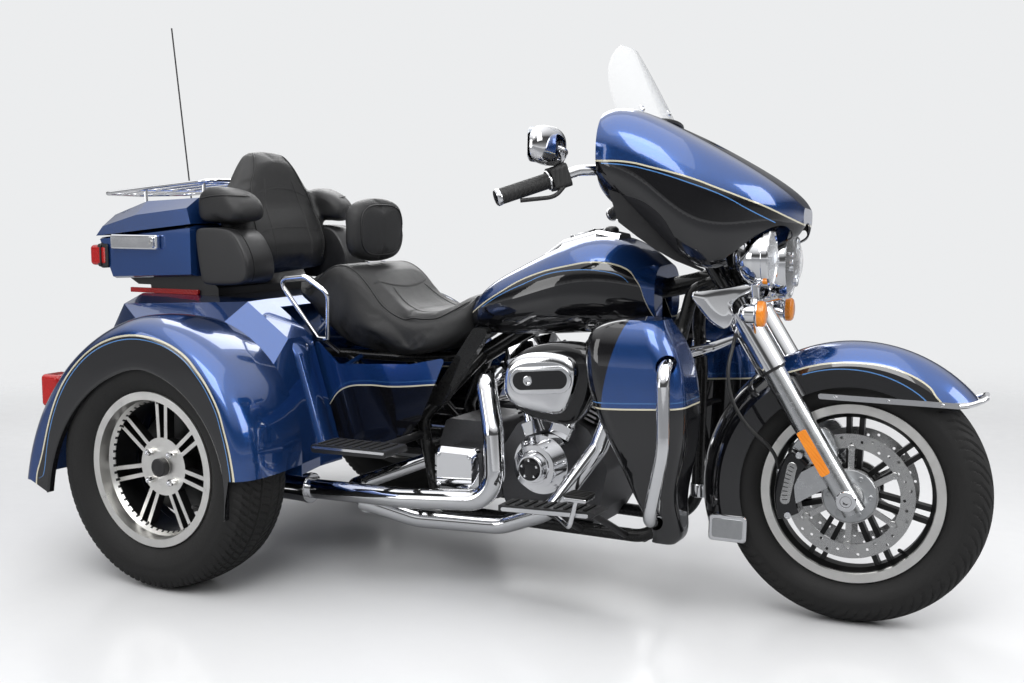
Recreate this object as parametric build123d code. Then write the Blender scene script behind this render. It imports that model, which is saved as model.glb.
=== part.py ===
"""A three-wheeled touring motorcycle, built as an assembly of separate pieces.

Lengths are in millimetres. X points forward, Y to the rider's left, Z up. While the pieces are
drawn, X is counted from the rear axle and the front end stands straight ahead. At the end the
front end is turned to its parked angle about the steering axis, and the whole vehicle is moved
so that the origin lies on the floor in the middle of its length.
"""

from build123d import *
import os
from math import cos, pi, radians, sin, sqrt, tan

# ---------------------------------------------------------------- driving dimensions
WHEELBASE = 1670.0
HALF_WIDTH = 695.0
REAR_TRACK = 1155.0
REAR_TYRE_RADIUS = 324.0
REAR_TYRE_WIDTH = 205.0
REAR_RIM_RADIUS = 207.0
REAR_RIM_WIDTH = 168.0
FRONT_TYRE_RADIUS = 320.0
FRONT_TYRE_WIDTH = 130.0
FRONT_RIM_RADIUS = 217.0
FRONT_RIM_WIDTH = 90.0
SPOKE_PAIRS = 7

RAKE = 26.0
FORK_ANGLE = 32.0
TRAIL = 100.0
PARKED_STEER = 7.0
FORK_HALF_SPACING = 120.0
SLIDER_RADIUS = 28.0
FORK_TUBE_RADIUS = 20.5

SHELL = 4.0
FIT = 0.3
RUNNING_FIT = 0.05
DOOR_GAP = 6.0

AXLE_RADIUS = 12.7
AXLE_BORE_RADIUS = 8.0
REAR_SHAFT_RADIUS = 18.0
CRANK_X = 905.0
CRANK_Z = 335.0
CYLINDER_HALF_ANGLE = 22.5
DECK_HEIGHT = 748.0
TRUNK_FLOOR = 415.0
TRUNK_HALF_WIDTH = 446.0
TRUNK_OPENING = (300.0, 470.0, 680.0)
TRUNK_HINGE_X = -484.0
TRUNK_HINGE_Z = 466.0

PIECES = {}


# ---------------------------------------------------------------- drawing helpers
def both_sides(shape):
    """The shape and its mirror image across the middle plane of the vehicle."""
    return [shape, mirror(shape, about=Plane.XZ)]


def gather(*shapes):
    """One compound of the separate solids in the given shapes and lists of shapes."""
    solids = []
    for shape in shapes:
        for one in shape if isinstance(shape, (list, tuple)) else [shape]:
            solids += one.solids()
    return Compound(children=solids)


def rod(points, diameter, bend=60.0):
    """A round bar along straight runs joined by arcs. bend is one radius or one for each corner."""
    path = Line(*points) if len(points) == 2 else FilletPolyline(*points, radius=bend)
    return sweep(Plane(path @ 0, z_dir=path % 0) * Circle(diameter / 2), path=path)


def bar(start, end, radius):
    """A plain round bar from one point to another."""
    line = Line(start, end)
    return extrude(Plane(line @ 0, z_dir=line % 0) * Circle(radius), line.length)


def across(radius, length, centre=(0, 0, 0)):
    """A round bar that lies across the vehicle."""
    return Pos(*centre) * Rot(90, 0, 0) * Cylinder(radius, length)


def ring_about_y(edges, centre=(0, 0, 0)):
    """A ring about the Y axis whose closed outline of edges is given as (across, radius)."""
    return Pos(*centre) * revolve(Plane.YZ * make_face(edges), axis=Axis.Y)


def turned_about_x(edges, centre):
    """A body about a line along X whose closed outline of edges is given as (along, radius)."""
    return Pos(*centre) * revolve(Plane.XZ * make_face(edges), axis=Axis.X)


def dome_arc(x, radius, height):
    """A round cap's outline from (x, radius) to the axis, as part of a circle centred on the axis."""
    bulge = (radius**2 + height**2) / (2 * height)
    half = radius / 2
    middle = (x + height - bulge + sqrt(bulge**2 - half**2), half)
    return ThreePointArc((x, radius), middle, (x + height, 0))


def turned_about_y(points, centre=(0, 0, 0)):
    """A ring or disc about the Y axis whose straight-sided outline is given as (across, radius)."""
    return ring_about_y(Polyline(*points, close=True), centre)


def slab(outline, y_low, y_high, corner=0.0):
    """A plate between two Y values whose side view is a list of (x, z) points."""
    edges = FilletPolyline(*outline, radius=corner, close=True) if corner else Polyline(*outline, close=True)
    return extrude(Plane.XZ.offset(-y_high) * make_face(edges), y_high - y_low)


def rounded(centre, size, radius):
    """A box of the given size with every edge rounded."""
    block = Box(*size)
    return Pos(*centre) * fillet(block.edges(), radius)


def loft_along_x(stations, smooth=True):
    """A body through rounded sections. Columns: x, half width, low z, high z, corner radius."""
    faces = []
    for x, half_width, low, high, corner in stations:
        plane = Plane((x, 0, (low + high) / 2), x_dir=(0, 1, 0), z_dir=(1, 0, 0))
        faces.append(plane * RectangleRounded(2 * half_width, high - low, corner))
    return loft(faces, ruled=not smooth)


def loft_along_z(stations, smooth=True):
    """A body through rounded sections. Columns: z, low x, high x, low y, high y, corner radius."""
    faces = []
    for z, x_low, x_high, y_low, y_high, corner in stations:
        plane = Plane(((x_low + x_high) / 2, (y_low + y_high) / 2, z))
        faces.append(plane * RectangleRounded(x_high - x_low, y_high - y_low, corner))
    return loft(faces, ruled=not smooth)


def inset(points, distance):
    """The corners of a polygon, listed clockwise, with every side moved inwards."""
    moved = []
    for before, corner, after in zip(points[-1:] + points[:-1], points, points[1:] + points[:1]):
        a, b = Vector(*before), Vector(*corner)
        first, second = (b - a).normalized(), (Vector(*after) - b).normalized()
        inward_a, inward_b = Vector(first.Y, -first.X), Vector(second.Y, -second.X)
        shift = (inward_a + inward_b) * (distance / (1 + inward_a.dot(inward_b)))
        moved.append((b.X + shift.X, b.Y + shift.Y))
    return moved


def loft_along_y(outlines):
    """A flat-sided body through side views. Columns: y, list of (x, z) points."""
    faces = [Plane.XZ.offset(-y) * make_face(Polyline(*points, close=True)) for y, points in outlines]
    return loft(faces, ruled=True)


# ---------------------------------------------------------------- steering geometry
STEER_FOOT = Vector(WHEELBASE + TRAIL, 0, 0)
STEER_UP = Vector(-sin(radians(RAKE)), 0, cos(radians(RAKE)))
FORK_UP = Vector(-sin(radians(FORK_ANGLE)), 0, cos(radians(FORK_ANGLE)))
FORK_FORWARD = Vector(cos(radians(FORK_ANGLE)), 0, sin(radians(FORK_ANGLE)))
CROWN_DROP = 22.0
CROWN_HALF_WIDTH = 54.0
CROWN_ARC = (CROWN_HALF_WIDTH**2 + CROWN_DROP**2) / (2 * CROWN_DROP)


def turn_about_steering(vector, angle):
    """A vector turned about the steering axis, by Rodrigues' formula."""
    c, s = cos(radians(angle)), sin(radians(angle))
    return vector * c + STEER_UP.cross(vector) * s + STEER_UP * (STEER_UP.dot(vector) * (1 - c))


def front_axle_height():
    """The height at which the turned front tyre still just touches the floor."""
    straight = Vector(WHEELBASE, 0, FRONT_TYRE_RADIUS)
    axle = STEER_FOOT + turn_about_steering(straight - STEER_FOOT, PARKED_STEER)
    lean = turn_about_steering(Vector(0, 1, 0), PARKED_STEER).Z
    ring = FRONT_TYRE_RADIUS - CROWN_ARC
    return FRONT_TYRE_RADIUS - (axle.Z - ring * sqrt(1 - lean**2) - CROWN_ARC)


FRONT_AXLE = Vector(WHEELBASE, 0, front_axle_height())


def on_axis(z):
    """The point of the steering axis at a height."""
    return Vector(STEER_FOOT.X - z * tan(radians(RAKE)), 0, z)


def on_fork(up, forward=0.0, side=0.0):
    """A point given along the fork legs from the axle, ahead of them, and to the left."""
    return FRONT_AXLE + FORK_UP * up + FORK_FORWARD * forward + Vector(0, side, 0)


# ---------------------------------------------------------------- wheels
def tyre(centre, radius, width, bead_radius, bead_half_width, crown_half_width, crown_drop):
    """A tyre as one ring: bead, bulging sidewalls and a crowned tread."""
    half, belly = width / 2, (bead_radius + radius) / 2
    shoulder, bead_top = radius - crown_drop, bead_radius + RIM_SEAT_DROP + 2
    outline = [
        Line((-bead_half_width, bead_radius), (-bead_half_width, bead_top)),
        ThreePointArc((-bead_half_width, bead_top), (-half, belly), (-crown_half_width, shoulder)),
        ThreePointArc((-crown_half_width, shoulder), (0, radius), (crown_half_width, shoulder)),
        ThreePointArc((crown_half_width, shoulder), (half, belly), (bead_half_width, bead_top)),
        Line((bead_half_width, bead_top), (bead_half_width, bead_radius)),
        Line((bead_half_width, bead_radius), (-bead_half_width, bead_radius)),
    ]
    return ring_about_y(outline, centre)


RIM_LIP = 6.0
RIM_SEAT_DROP = 15.0
RIM_WALL = 6.0


def rim_ring(half_width, flange_radius):
    """The rolled outline of a rim: two flanges, two bead seats and a drop centre."""
    seat_half, seat = half_width - RIM_LIP, flange_radius - RIM_SEAT_DROP
    well_half, well = seat_half * 0.5, seat - 12
    right_half = [
        (-half_width, flange_radius),
        (-seat_half, flange_radius),
        (-seat_half, seat),
        (-well_half - 12, seat - 3),
        (-well_half, well),
    ]
    lower_half = [
        (well_half, well - RIM_WALL),
        (well_half + 14, seat - RIM_WALL - 3),
        (half_width, seat - RIM_WALL),
    ]
    top = right_half + [(-y, r) for y, r in reversed(right_half)]
    bottom = list(reversed(lower_half)) + [(-y, r) for y, r in lower_half]
    return turned_about_y(top + bottom)


def spoke_pairs(inner_radius, outer_radius, y_centre, depth, bar_width, gap):
    """Pairs of parallel spokes about the Y axis, a little wider at the rim."""
    flare = 4.0
    side = [
        (gap / 2, inner_radius),
        (gap / 2 + bar_width, inner_radius),
        (gap / 2 + bar_width + flare, outer_radius),
        (gap / 2 + flare, outer_radius),
    ]
    one = slab(side, y_centre - depth / 2, y_centre + depth / 2)
    pair = [one, mirror(one, about=Plane.YZ)]
    return [Rot(0, 360 / SPOKE_PAIRS * i, 0) * s for i in range(SPOKE_PAIRS) for s in pair]


DISC_THICKNESS = 5.0
FRONT_DISC_Y = 70.0
FRONT_DISC_RADIUS = 150.0
FRONT_HUB_HALF = 60.0


def front_wheel():
    """A cast front wheel with seven pairs of spokes and its hub bored for the axle."""
    ring = rim_ring(FRONT_RIM_WIDTH / 2, FRONT_RIM_RADIUS)
    spokes = spoke_pairs(50, FRONT_RIM_RADIUS - RIM_SEAT_DROP - 14, 0, 34, 12, 12)
    hub = across(34, 2 * FRONT_HUB_HALF) + across(62, 30)
    rim = ring + hub + spokes - across(AXLE_RADIUS + RUNNING_FIT, 2 * FRONT_HUB_HALF + 2)
    PIECES["front_rim"] = Pos(*FRONT_AXLE) * rim
    PIECES["front_discs"] = Pos(*FRONT_AXLE) * gather(both_sides(front_disc()))
    PIECES["front_tyre"] = tyre(
        FRONT_AXLE, FRONT_TYRE_RADIUS, FRONT_TYRE_WIDTH, FRONT_RIM_RADIUS - RIM_SEAT_DROP + FIT,
        FRONT_RIM_WIDTH / 2 - RIM_LIP - FIT, CROWN_HALF_WIDTH, CROWN_DROP,
    )


def front_disc():
    """A floating brake disc: a drilled ring carried by buttons on a six-armed carrier."""
    low, high = FRONT_DISC_Y, FRONT_DISC_Y + DISC_THICKNESS
    ring = turned_about_y([(low, 116), (low, FRONT_DISC_RADIUS), (high, FRONT_DISC_RADIUS), (high, 116)])
    holes_per_row, drill = 12, 3.6
    holes = [
        Rot(0, 360 / holes_per_row * (i + row / 3), 0) * across(drill, 12, (0, FRONT_DISC_Y + 2, radius))
        for row, radius in enumerate((125.0, 133.0, 141.0))
        for i in range(holes_per_row)
    ]
    carrier = turned_about_y([(FRONT_HUB_HALF, 22), (FRONT_HUB_HALF, 66), (high, 66), (high, 22)])
    arm = Pos(0, FRONT_DISC_Y + 1, 90) * Box(14, 6, 56)
    button = across(8, 11, (0, FRONT_DISC_Y + 2, 116))
    return ring - holes + carrier + [Rot(0, 60 * i, 0) * s for i in range(6) for s in (arm, button)]


REAR_DISC_OFFSET = 54.0


def rear_wheel(side, name):
    """A deep-dished rear wheel with its hub, brake disc and stub shaft. side is 1 on the left."""
    half = REAR_RIM_WIDTH / 2
    face_y = side * (half - 60)
    ring = rim_ring(half, REAR_RIM_RADIUS)
    spokes = spoke_pairs(66, REAR_RIM_RADIUS - RIM_SEAT_DROP - 14, face_y, 26, 11, 13)
    plate = across(78, 26, (0, face_y, 0))
    cap = across(24, 18, (0, face_y + side * 20, 0))
    lugs = [Rot(0, 45 + 90 * i, 0) * across(9, 14, (0, face_y + side * 17, 53)) for i in range(4)]
    disc_y = face_y - side * REAR_DISC_OFFSET
    bell = across(66, REAR_DISC_OFFSET, (0, (face_y + disc_y) / 2, 0))
    disc = across(140, 7, (0, disc_y, 0))
    shaft = bar((0, disc_y, 0), (0, disc_y - side * 150, 0), REAR_SHAFT_RADIUS)
    wheel = ring + spokes + plate + cap + lugs + bell + disc + shaft
    centre = (0, side * REAR_TRACK / 2, REAR_TYRE_RADIUS)
    PIECES[f"rear_{name}_rim"] = Pos(*centre) * wheel
    PIECES[f"rear_{name}_tyre"] = tyre(
        centre, REAR_TYRE_RADIUS, REAR_TYRE_WIDTH, REAR_RIM_RADIUS - RIM_SEAT_DROP + FIT,
        half - RIM_LIP - FIT, 84, 10,
    )


REAR_DISC_Y = REAR_TRACK / 2 + REAR_RIM_WIDTH / 2 - 60 - REAR_DISC_OFFSET

# ---------------------------------------------------------------- rear axle and shock absorbers
PIVOT_X = 520.0
PIVOT_Z = 330.0
ARM_Y = 165.0
SHOCK_Y = 215.0
BODY_RAIL_Z = 397.0
BODY_RAIL_RADIUS = 13.0
BODY_RAIL_Y = 128.0


def rear_axle():
    """The axle tube with its differential case, on a swingarm with a pivot across the frame."""
    end_y = REAR_DISC_Y - 10
    tube = across(34, 2 * end_y, (0, 0, REAR_TYRE_RADIUS))
    case = turned_about_y(
        [(-70, 0), (-70, 58), (-40, 76), (40, 76), (70, 58), (70, 0)], (0, 0, REAR_TYRE_RADIUS)
    )
    arm_in = 78.0
    arm = rod(
        [(PIVOT_X, -arm_in, PIVOT_Z), (400, -arm_in, PIVOT_Z), (220, -ARM_Y, PIVOT_Z), (0, -ARM_Y, REAR_TYRE_RADIUS)],
        50, 70,
    )
    boss = across(26, 240, (PIVOT_X, 0, PIVOT_Z))
    brace = across(18, 300, (330, 0, PIVOT_Z))
    mount = Pos(-44, -SHOCK_Y, 344) * Box(40, 44, 30)
    bearing = across(44, 60, (0, end_y - 30, REAR_TYRE_RADIUS))
    bore = across(REAR_SHAFT_RADIUS + RUNNING_FIT, 2 * end_y + 2, (0, 0, REAR_TYRE_RADIUS))
    whole = tube + case + both_sides(arm) + boss + brace + both_sides(mount) + both_sides(bearing)
    PIECES["rear_axle"] = whole - bore
    shock_low, shock_high = 344 + 15, TRUNK_FLOOR - SHELL
    shock = bar((-44, SHOCK_Y, shock_low), (-44, SHOCK_Y, 376), 9)
    shock += bar((-44, SHOCK_Y, 374), (-44, SHOCK_Y, shock_high), 30)
    PIECES["shock_absorbers"] = gather(both_sides(shock))


# ---------------------------------------------------------------- frame
HEAD_TOP_Z = 925.0
HEAD_LOW_Z = 814.0
HEAD_RADIUS = 34.0
SEAT_RAIL_Z = 588.0
STEM_RADIUS = 16.0
CRADLE_HALF = 116.0
CRADLE_LOW = 168.0
TUBE_RADIUS = 17.0
BACKBONE_RADIUS = 25.0
BACKBONE_FRONT = (1358.0, 0.0, 842.0)
BACKBONE_BEND = (860.0, 0.0, 728.0)
BACKBONE_REAR = (625.0, 0.0, 590.0)
BACKBONE_TURN = 150.0
SEAT_REST = (475.0, -95.0, 605.4)
BULKHEAD_X = 70.0


def frame():
    """A double cradle of steel tube with a backbone, a steering head and seat rails."""
    head = bar(on_axis(HEAD_LOW_Z), on_axis(HEAD_TOP_Z), HEAD_RADIUS)
    backbone = rod([BACKBONE_FRONT, BACKBONE_BEND, BACKBONE_REAR], 2 * BACKBONE_RADIUS, BACKBONE_TURN)
    cradle = rod(
        [
            (1360, -22, 842),
            (1262, -34, 800),
            (1246, -60, 700),
            (1236, -CRADLE_HALF, 590),
            (1230, -CRADLE_HALF, CRADLE_LOW),
            (560, -CRADLE_HALF - 12, CRADLE_LOW),
            (505, -CRADLE_HALF - 12, 420),
            (640, -14, 598),
        ],
        2 * TUBE_RADIUS,
        [40, 60, 60, 90, 70, 50],
    )
    rail = rod([(630, -18, 590), (440, -112, SEAT_RAIL_Z), (BULKHEAD_X + 2.9, -125, SEAT_RAIL_Z)], 28, 100)
    post = bar((250, -120, SEAT_RAIL_Z), (508, -126, 350), 13)
    body_rail = bar((490, -BODY_RAIL_Y, BODY_RAIL_Z), (-430, -BODY_RAIL_Y, BODY_RAIL_Z), BODY_RAIL_RADIUS)
    cross = [across(15, 2 * CRADLE_HALF, (x, 0, CRADLE_LOW)) for x in (575, 1170)]
    cross.append(across(BODY_RAIL_RADIUS, 2 * BODY_RAIL_Y, (-415, 0, BODY_RAIL_Z)))
    parts = head + backbone + both_sides(cradle) + both_sides(rail) + both_sides(post)
    seat_rest = bar((SEAT_REST[0], SEAT_REST[1], SEAT_RAIL_Z), SEAT_REST, 12)
    parts = parts + both_sides(body_rail) + both_sides(seat_rest) + cross
    stem_hole = bar(on_axis(HEAD_LOW_Z - 5), on_axis(HEAD_TOP_Z + 5), STEM_RADIUS + RUNNING_FIT)
    pivot_hole = across(26 + FIT, 241, (PIVOT_X, 0, PIVOT_Z))
    PIECES["frame"] = parts - stem_hole - pivot_hole


# ---------------------------------------------------------------- engine
def on_cylinder(side, up, across_y=0.0, forward=0.0):
    """A point along a cylinder's centre line from the crankshaft. side is 1 for the front one."""
    lean = radians(CYLINDER_HALF_ANGLE) * side
    x = CRANK_X + up * sin(lean) + forward * cos(lean)
    return Vector(x, across_y, CRANK_Z + up * cos(lean) - forward * sin(lean))


def cylinder_plane(side, up):
    """A plane square to a cylinder's centre line, with its first direction forward."""
    lean = radians(CYLINDER_HALF_ANGLE) * side
    return Plane(on_cylinder(side, up), x_dir=(cos(lean), 0, -sin(lean)), z_dir=(sin(lean), 0, cos(lean)))


CASE_HALF = 112.0
PRIMARY_INNER = 140.0
FINS = 11
FIN_BOTTOM = 138.0
FIN_PITCH = 12.6
HEAD_TOP = FIN_BOTTOM + FINS * FIN_PITCH


def engine():
    """The crankcase, two finned cylinders in a narrow vee, and their chrome rocker covers."""
    case = slab(
        [(760, 215), (735, 330), (800, 430), (870, 465), (940, 465), (1010, 430), (1065, 330), (1040, 215),
         (1000, 150), (800, 150)],
        -CASE_HALF, CASE_HALF, 24,
    )
    PIECES["engine_case"] = case - frame_clearance()
    cylinders = []
    for side in (1, -1):
        barrel = cylinder_plane(side, 92) * extrude(Circle(62), HEAD_TOP - 92)
        fins = [
            cylinder_plane(side, FIN_BOTTOM + FIN_PITCH * i) * extrude(RectangleRounded(172, 156, 40), 5.5)
            for i in range(FINS)
        ]
        cylinders.append((barrel + fins) - case - other_cylinder_gap(side))
    PIECES["cylinders"] = gather(cylinders)
    covers = []
    for side in (1, -1):
        lower = cylinder_plane(side, HEAD_TOP + FIT) * extrude(RectangleRounded(158, 150, 34), 22)
        upper = cylinder_plane(side, HEAD_TOP + 22) * extrude(RectangleRounded(140, 132, 30), 32, taper=16)
        covers.append((lower + upper))
    PIECES["rocker_covers"] = gather(covers)


def other_cylinder_gap(side):
    """The space beyond the middle plane of the vee, which belongs to the other cylinder."""
    gap = 1.5
    return Pos(CRANK_X + side * (-200 + gap), 0, CRANK_Z + 200) * Box(400, 400, 900)


def frame_clearance():
    """Slots through the bottom of the crankcase for the lower frame tubes."""
    reach = TUBE_RADIUS + 3
    slot = Pos(900, -CRADLE_HALF - 2, CRADLE_LOW) * Box(700, 2 * reach, 2 * reach)
    return both_sides(slot)


def gearbox():
    """The gearbox behind the crankcase, with its chrome side cover."""
    outline = [(560, 215), (545, 330), (575, 425), (720, 425), (733, 330), (756, 215)]
    box = slab(outline, -CASE_HALF, CASE_HALF, 18) - frame_clearance()
    pivot = across(26 + 12, 300, (PIVOT_X, 0, PIVOT_Z))
    neck = slab([(615, 258), (615, 366), (738, 366), (738, 258)], -205, -CASE_HALF, 22)
    PIECES["gearbox"] = box + neck - pivot
    cover = slab([(608, 252), (608, 372), (744, 372), (744, 252)], -240, -205, 26)
    cover = chamfer(cover.faces().sort_by(Axis.Y)[0].edges(), 14)
    return cover


def engine_covers(gearbox_cover):
    """The round cam cover and the gearbox cover on the right, and the primary cover on the left."""
    cam = across(78, 78, (CRANK_X + 5, -CASE_HALF - 39, CRANK_Z + 8)) + across(58, 40, (CRANK_X + 5, -210, CRANK_Z + 8))
    cam += across(34, 22, (CRANK_X + 5, -241, CRANK_Z + 8))
    PIECES["engine_covers"] = gather(cam, gearbox_cover)
    primary = slab(
        [(560, 250), (560, 410), (640, 440), (930, 440), (1030, 400), (1030, 250), (940, 215), (640, 215)],
        PRIMARY_INNER, 228, 32,
    )
    primary = chamfer(primary.faces().sort_by(Axis.Y)[-1].edges(), 18)
    spacer = slab([(640, 260), (640, 400), (960, 400), (960, 260)], CASE_HALF, PRIMARY_INNER, 20)
    PIECES["primary_cover"] = primary + spacer


def pushrods():
    """Chrome pushrod tubes on the right of the vee, with their lifter blocks on the case."""
    solids = []
    for side in (1, -1):
        block_y = -CASE_HALF - 20 - FIT
        block = cylinder_plane(side, 88) * Pos(side * 2, block_y, 0) * extrude(RectangleRounded(64, 40, 8), 34)
        tubes = [
            bar(on_cylinder(side, 120, -130, 2 + offset), on_cylinder(side, HEAD_TOP - 4, -92, offset * 1.5), 9)
            for offset in (-16, 16)
        ]
        solids.append(block + tubes)
    PIECES["pushrod_tubes"] = gather(solids)


def air_cleaner():
    """The teardrop air cleaner on the right of the engine, with its raised oval centre."""
    outline = [(872, 560), (905, 665), (1055, 672), (1088, 604), (1052, 490), (930, 480)]
    body = slab(outline, -318, -235, 34)
    body = chamfer(body.faces().sort_by(Axis.Y)[0].edges(), 16)
    oval = Pos(985, -322, 590) * Rot(90, 0, 0) * extrude(SlotOverall(170, 62), 8, both=True)
    neck = across(30, 180, (940, -150, 585))
    whole = (body + oval + neck) - PIECES["cylinders"]
    PIECES["air_cleaner"] = whole.solids().sort_by(SortBy.VOLUME)[-1]


# ---------------------------------------------------------------- exhaust
PIPE_RADIUS = 27.0
MUFFLER_RADIUS = 40.0
MUFFLER_Y = 315.0
MUFFLER_Z = 232.0


def exhaust():
    """Two header pipes that join on the right, a crossover, and a long muffler on each side."""
    rear_header = rod(
        [(742, -128, 560), (775, -240, 555), (822, -285, 440), (838, -300, 262), (560, -MUFFLER_Y, 240),
         (262, -MUFFLER_Y, MUFFLER_Z)],
        2 * PIPE_RADIUS, [38, 50, 78, 200],
    )
    front_header = rod(
        [(1092, -90, 560), (1108, -158, 520), (1066, -170, 400), (960, -224, 234), (800, -205, 170),
         (560, -245, 168), (420, -MUFFLER_Y + 8, 215)],
        2 * (PIPE_RADIUS - 3), [34, 60, 120, 120, 120],
    )
    crossover = rod(
        [(430, -290, 200), (300, -180, 215), (300, 200, 215), (250, MUFFLER_Y, MUFFLER_Z)], 44, [60, 60],
    )
    muffler = bar((262, MUFFLER_Y, MUFFLER_Z), (-330, MUFFLER_Y, MUFFLER_Z + 6), MUFFLER_RADIUS)
    outlet = bar((-325, MUFFLER_Y, MUFFLER_Z + 6), (-400, MUFFLER_Y, MUFFLER_Z + 7), 32)
    bore = bar((-345, MUFFLER_Y, MUFFLER_Z + 6), (-402, MUFFLER_Y, MUFFLER_Z + 7), 29)
    hanger = bar((-120, MUFFLER_Y, MUFFLER_Z + 36), (-120, MUFFLER_Y, TRUNK_FLOOR - SHELL), 8)
    muffler += hanger
    mufflers = both_sides(muffler + outlet - bore)
    PIECES["exhaust"] = rear_header + front_header + crossover + mufflers


# ---------------------------------------------------------------- tank, seat and backrests
TANK_REAR = 660.0
TANK_STATIONS = [
    (TANK_REAR, 112, 668, 756, 42),
    (760, 148, 668, 834, 78),
    (890, 166, 674, 898, 104),
    (1000, 163, 682, 932, 112),
    (1100, 134, 690, 914, 96),
    (1180, 90, 706, 862, 60),
]
TUNNEL_HALF = 34.0
CONSOLE_STATIONS = [
    (745, 20, 790, 828, 9),
    (825, 40, 830, 874, 14),
    (900, 52, 870, 922, 14),
    (1000, 54, 890, 950, 14),
    (1060, 40, 880, 940, 14),
]
FUEL_DOOR = (80.0, 70.0)


def tank():
    """The fuel tank, with a tunnel along its underside for the backbone tube."""
    shape = loft_along_x(TANK_STATIONS)
    line = [(x, z) for x, _, z in (BACKBONE_REAR, BACKBONE_BEND, BACKBONE_FRONT)]
    tunnel = slab([(BACKBONE_REAR[0], 560), *line, (BACKBONE_FRONT[0], 560)], -TUNNEL_HALF, TUNNEL_HALF)
    saddle = rod([BACKBONE_FRONT, BACKBONE_BEND, BACKBONE_REAR], 2 * (BACKBONE_RADIUS + FIT), BACKBONE_TURN)
    PIECES["fuel_tank"] = shape - tunnel - saddle
    console = loft_along_x(CONSOLE_STATIONS, smooth=False)
    PIECES["tank_console"] = console - shape
    low, high = CONSOLE_STATIONS[2], CONSOLE_STATIONS[3]
    top_plane = Plane(
        ((low[0] + high[0]) / 2, 0, (low[3] + high[3]) / 2), x_dir=(high[0] - low[0], 0, high[3] - low[3]),
        z_dir=(low[3] - high[3], 0, high[0] - low[0]),
    )
    door = top_plane.offset(FIT) * extrude(RectangleRounded(*FUEL_DOOR, 20), 5)
    PIECES["fuel_door"] = door


SEAT_STATIONS = [
    (84, 152, 750, 822, 26),
    (200, 172, 664, 834, 36),
    (320, 184, 612, 822, 44),
    (400, 186, 607, 752, 44),
    (475, 184, 606, 711, 40),
    (565, 168, 622, 716, 34),
    (656, 96, 676, 794, 24),
]


def seat():
    """The two-up seat: a raised passenger pad, a low rider's bucket and a nose up to the tank."""
    PIECES["seat"] = loft_along_x(SEAT_STATIONS)
    PIECES["rider_backrest"] = rounded((262, 0, 942), (66, 258, 186), 30)
    stay = bar((262, -40, 822), (262, -40, 862), 7)
    backrest_stays = [s - PIECES["seat"] - PIECES["rider_backrest"] for s in both_sides(stay)]
    centre = loft_along_z(
        [(812, -150, -40, -212, 212, 40), (900, -168, -52, -214, 214, 44), (1000, -176, -88, -206, 206, 40),
         (1090, -176, -112, -158, 158, 30), (1160, -176, -126, -104, 104, 24), (1190, -172, -138, -66, 66, 15)]
    )
    wing = loft_along_z(
        [(768, -120, 56, 172, 284, 30), (824, -150, 60, 174, 296, 34), (842, -164, 88, 174, 298, 36),
         (930, -176, 34, 176, 300, 36),
         (1000, -176, 44, 176, 298, 36), (1050, -172, 2, 180, 292, 30), (1066, -150, -50, 190, 284, 14)]
    )
    boss = bar((BOX_FRONT_LOW[0] + FIT, -90, 880), (-120, -90, 880), 12)
    PIECES["passenger_backrest"] = centre + both_sides(wing + boss)
    return backrest_stays


# ---------------------------------------------------------------- luggage box
BOX_HALF = 290.0
BOX_REAR_LOW = (-510.0, 792.0)
BOX_REAR_SEAM = (-565.0, 916.0)
BOX_FRONT_SEAM = (-183.0, 955.0)
BOX_FRONT_LOW = (-183.0, 807.0)
LID_REAR_TOP = (-535.0, 985.0)
LID_FRONT_TOP = (-193.0, 1036.0)
SEAM_GAP = 5.0
LID_HINGE_Y = BOX_HALF + 12.0


def luggage_box():
    """The passenger luggage box: a hollow lower shell and a lid hinged along its left side."""
    def body(grow):
        low = [BOX_REAR_LOW, BOX_REAR_SEAM, BOX_FRONT_SEAM, BOX_FRONT_LOW]
        narrow = inset(low, 6 - grow)
        wide = inset(low, -grow)
        return loft_along_y(
            [(-BOX_HALF + 0 - grow, narrow), (-BOX_HALF + 18 - grow, wide), (BOX_HALF - 18 + grow, wide),
             (BOX_HALF + grow, narrow)]
        )
    outer = body(0)
    cavity = body(-SHELL)
    inner_top = slab(
        inset([(-545, 880), (-545, 970), (-185, 1008), (-185, 880)], SHELL + 2), -BOX_HALF + 24, BOX_HALF - 24
    )
    base = slab(
        [(-462, 773), (-498, 792.3), (-184, 806.5), (-140, 770), (-140, DECK_HEIGHT + FIT),
         (-400, DECK_HEIGHT + FIT), (-412, 773)],
        -230, 230,
    )
    PIECES["luggage_box"] = (outer - cavity - inner_top) + base
    lift = SEAM_GAP
    lid_low = [
        (BOX_REAR_SEAM[0] - 4, BOX_REAR_SEAM[1] + lift), LID_REAR_TOP, (-400, 1026), LID_FRONT_TOP,
        (BOX_FRONT_SEAM[0], BOX_FRONT_SEAM[1] + lift),
    ]
    edge = [lid_low[0], (-540, 950), (-400, 985), (-196, 1006), lid_low[4]]
    lid_outer = loft_along_y(
        [(-BOX_HALF - 3, edge), (-BOX_HALF + 45, lid_low), (BOX_HALF - 45, lid_low), (BOX_HALF + 3, edge)]
    )
    in_side = inset(lid_low, SHELL)
    in_edge = inset(edge, SHELL)
    lid_inner = loft_along_y(
        [(-BOX_HALF - 3 + SHELL, in_edge), (-BOX_HALF + 45, in_side), (BOX_HALF - 45, in_side),
         (BOX_HALF + 3 - SHELL, in_edge)]
    )
    lower_cut = slab(
        [(-561, 900), (-561, 926), (-187, 964), (-187, 900)], -BOX_HALF + 1, BOX_HALF - 1
    )
    hinge_box, hinge_lid = lid_hinge()
    PIECES["luggage_box"] += hinge_box
    PIECES["luggage_lid"] = (lid_outer - lid_inner - lower_cut) + hinge_lid
    return lid_outer


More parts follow.
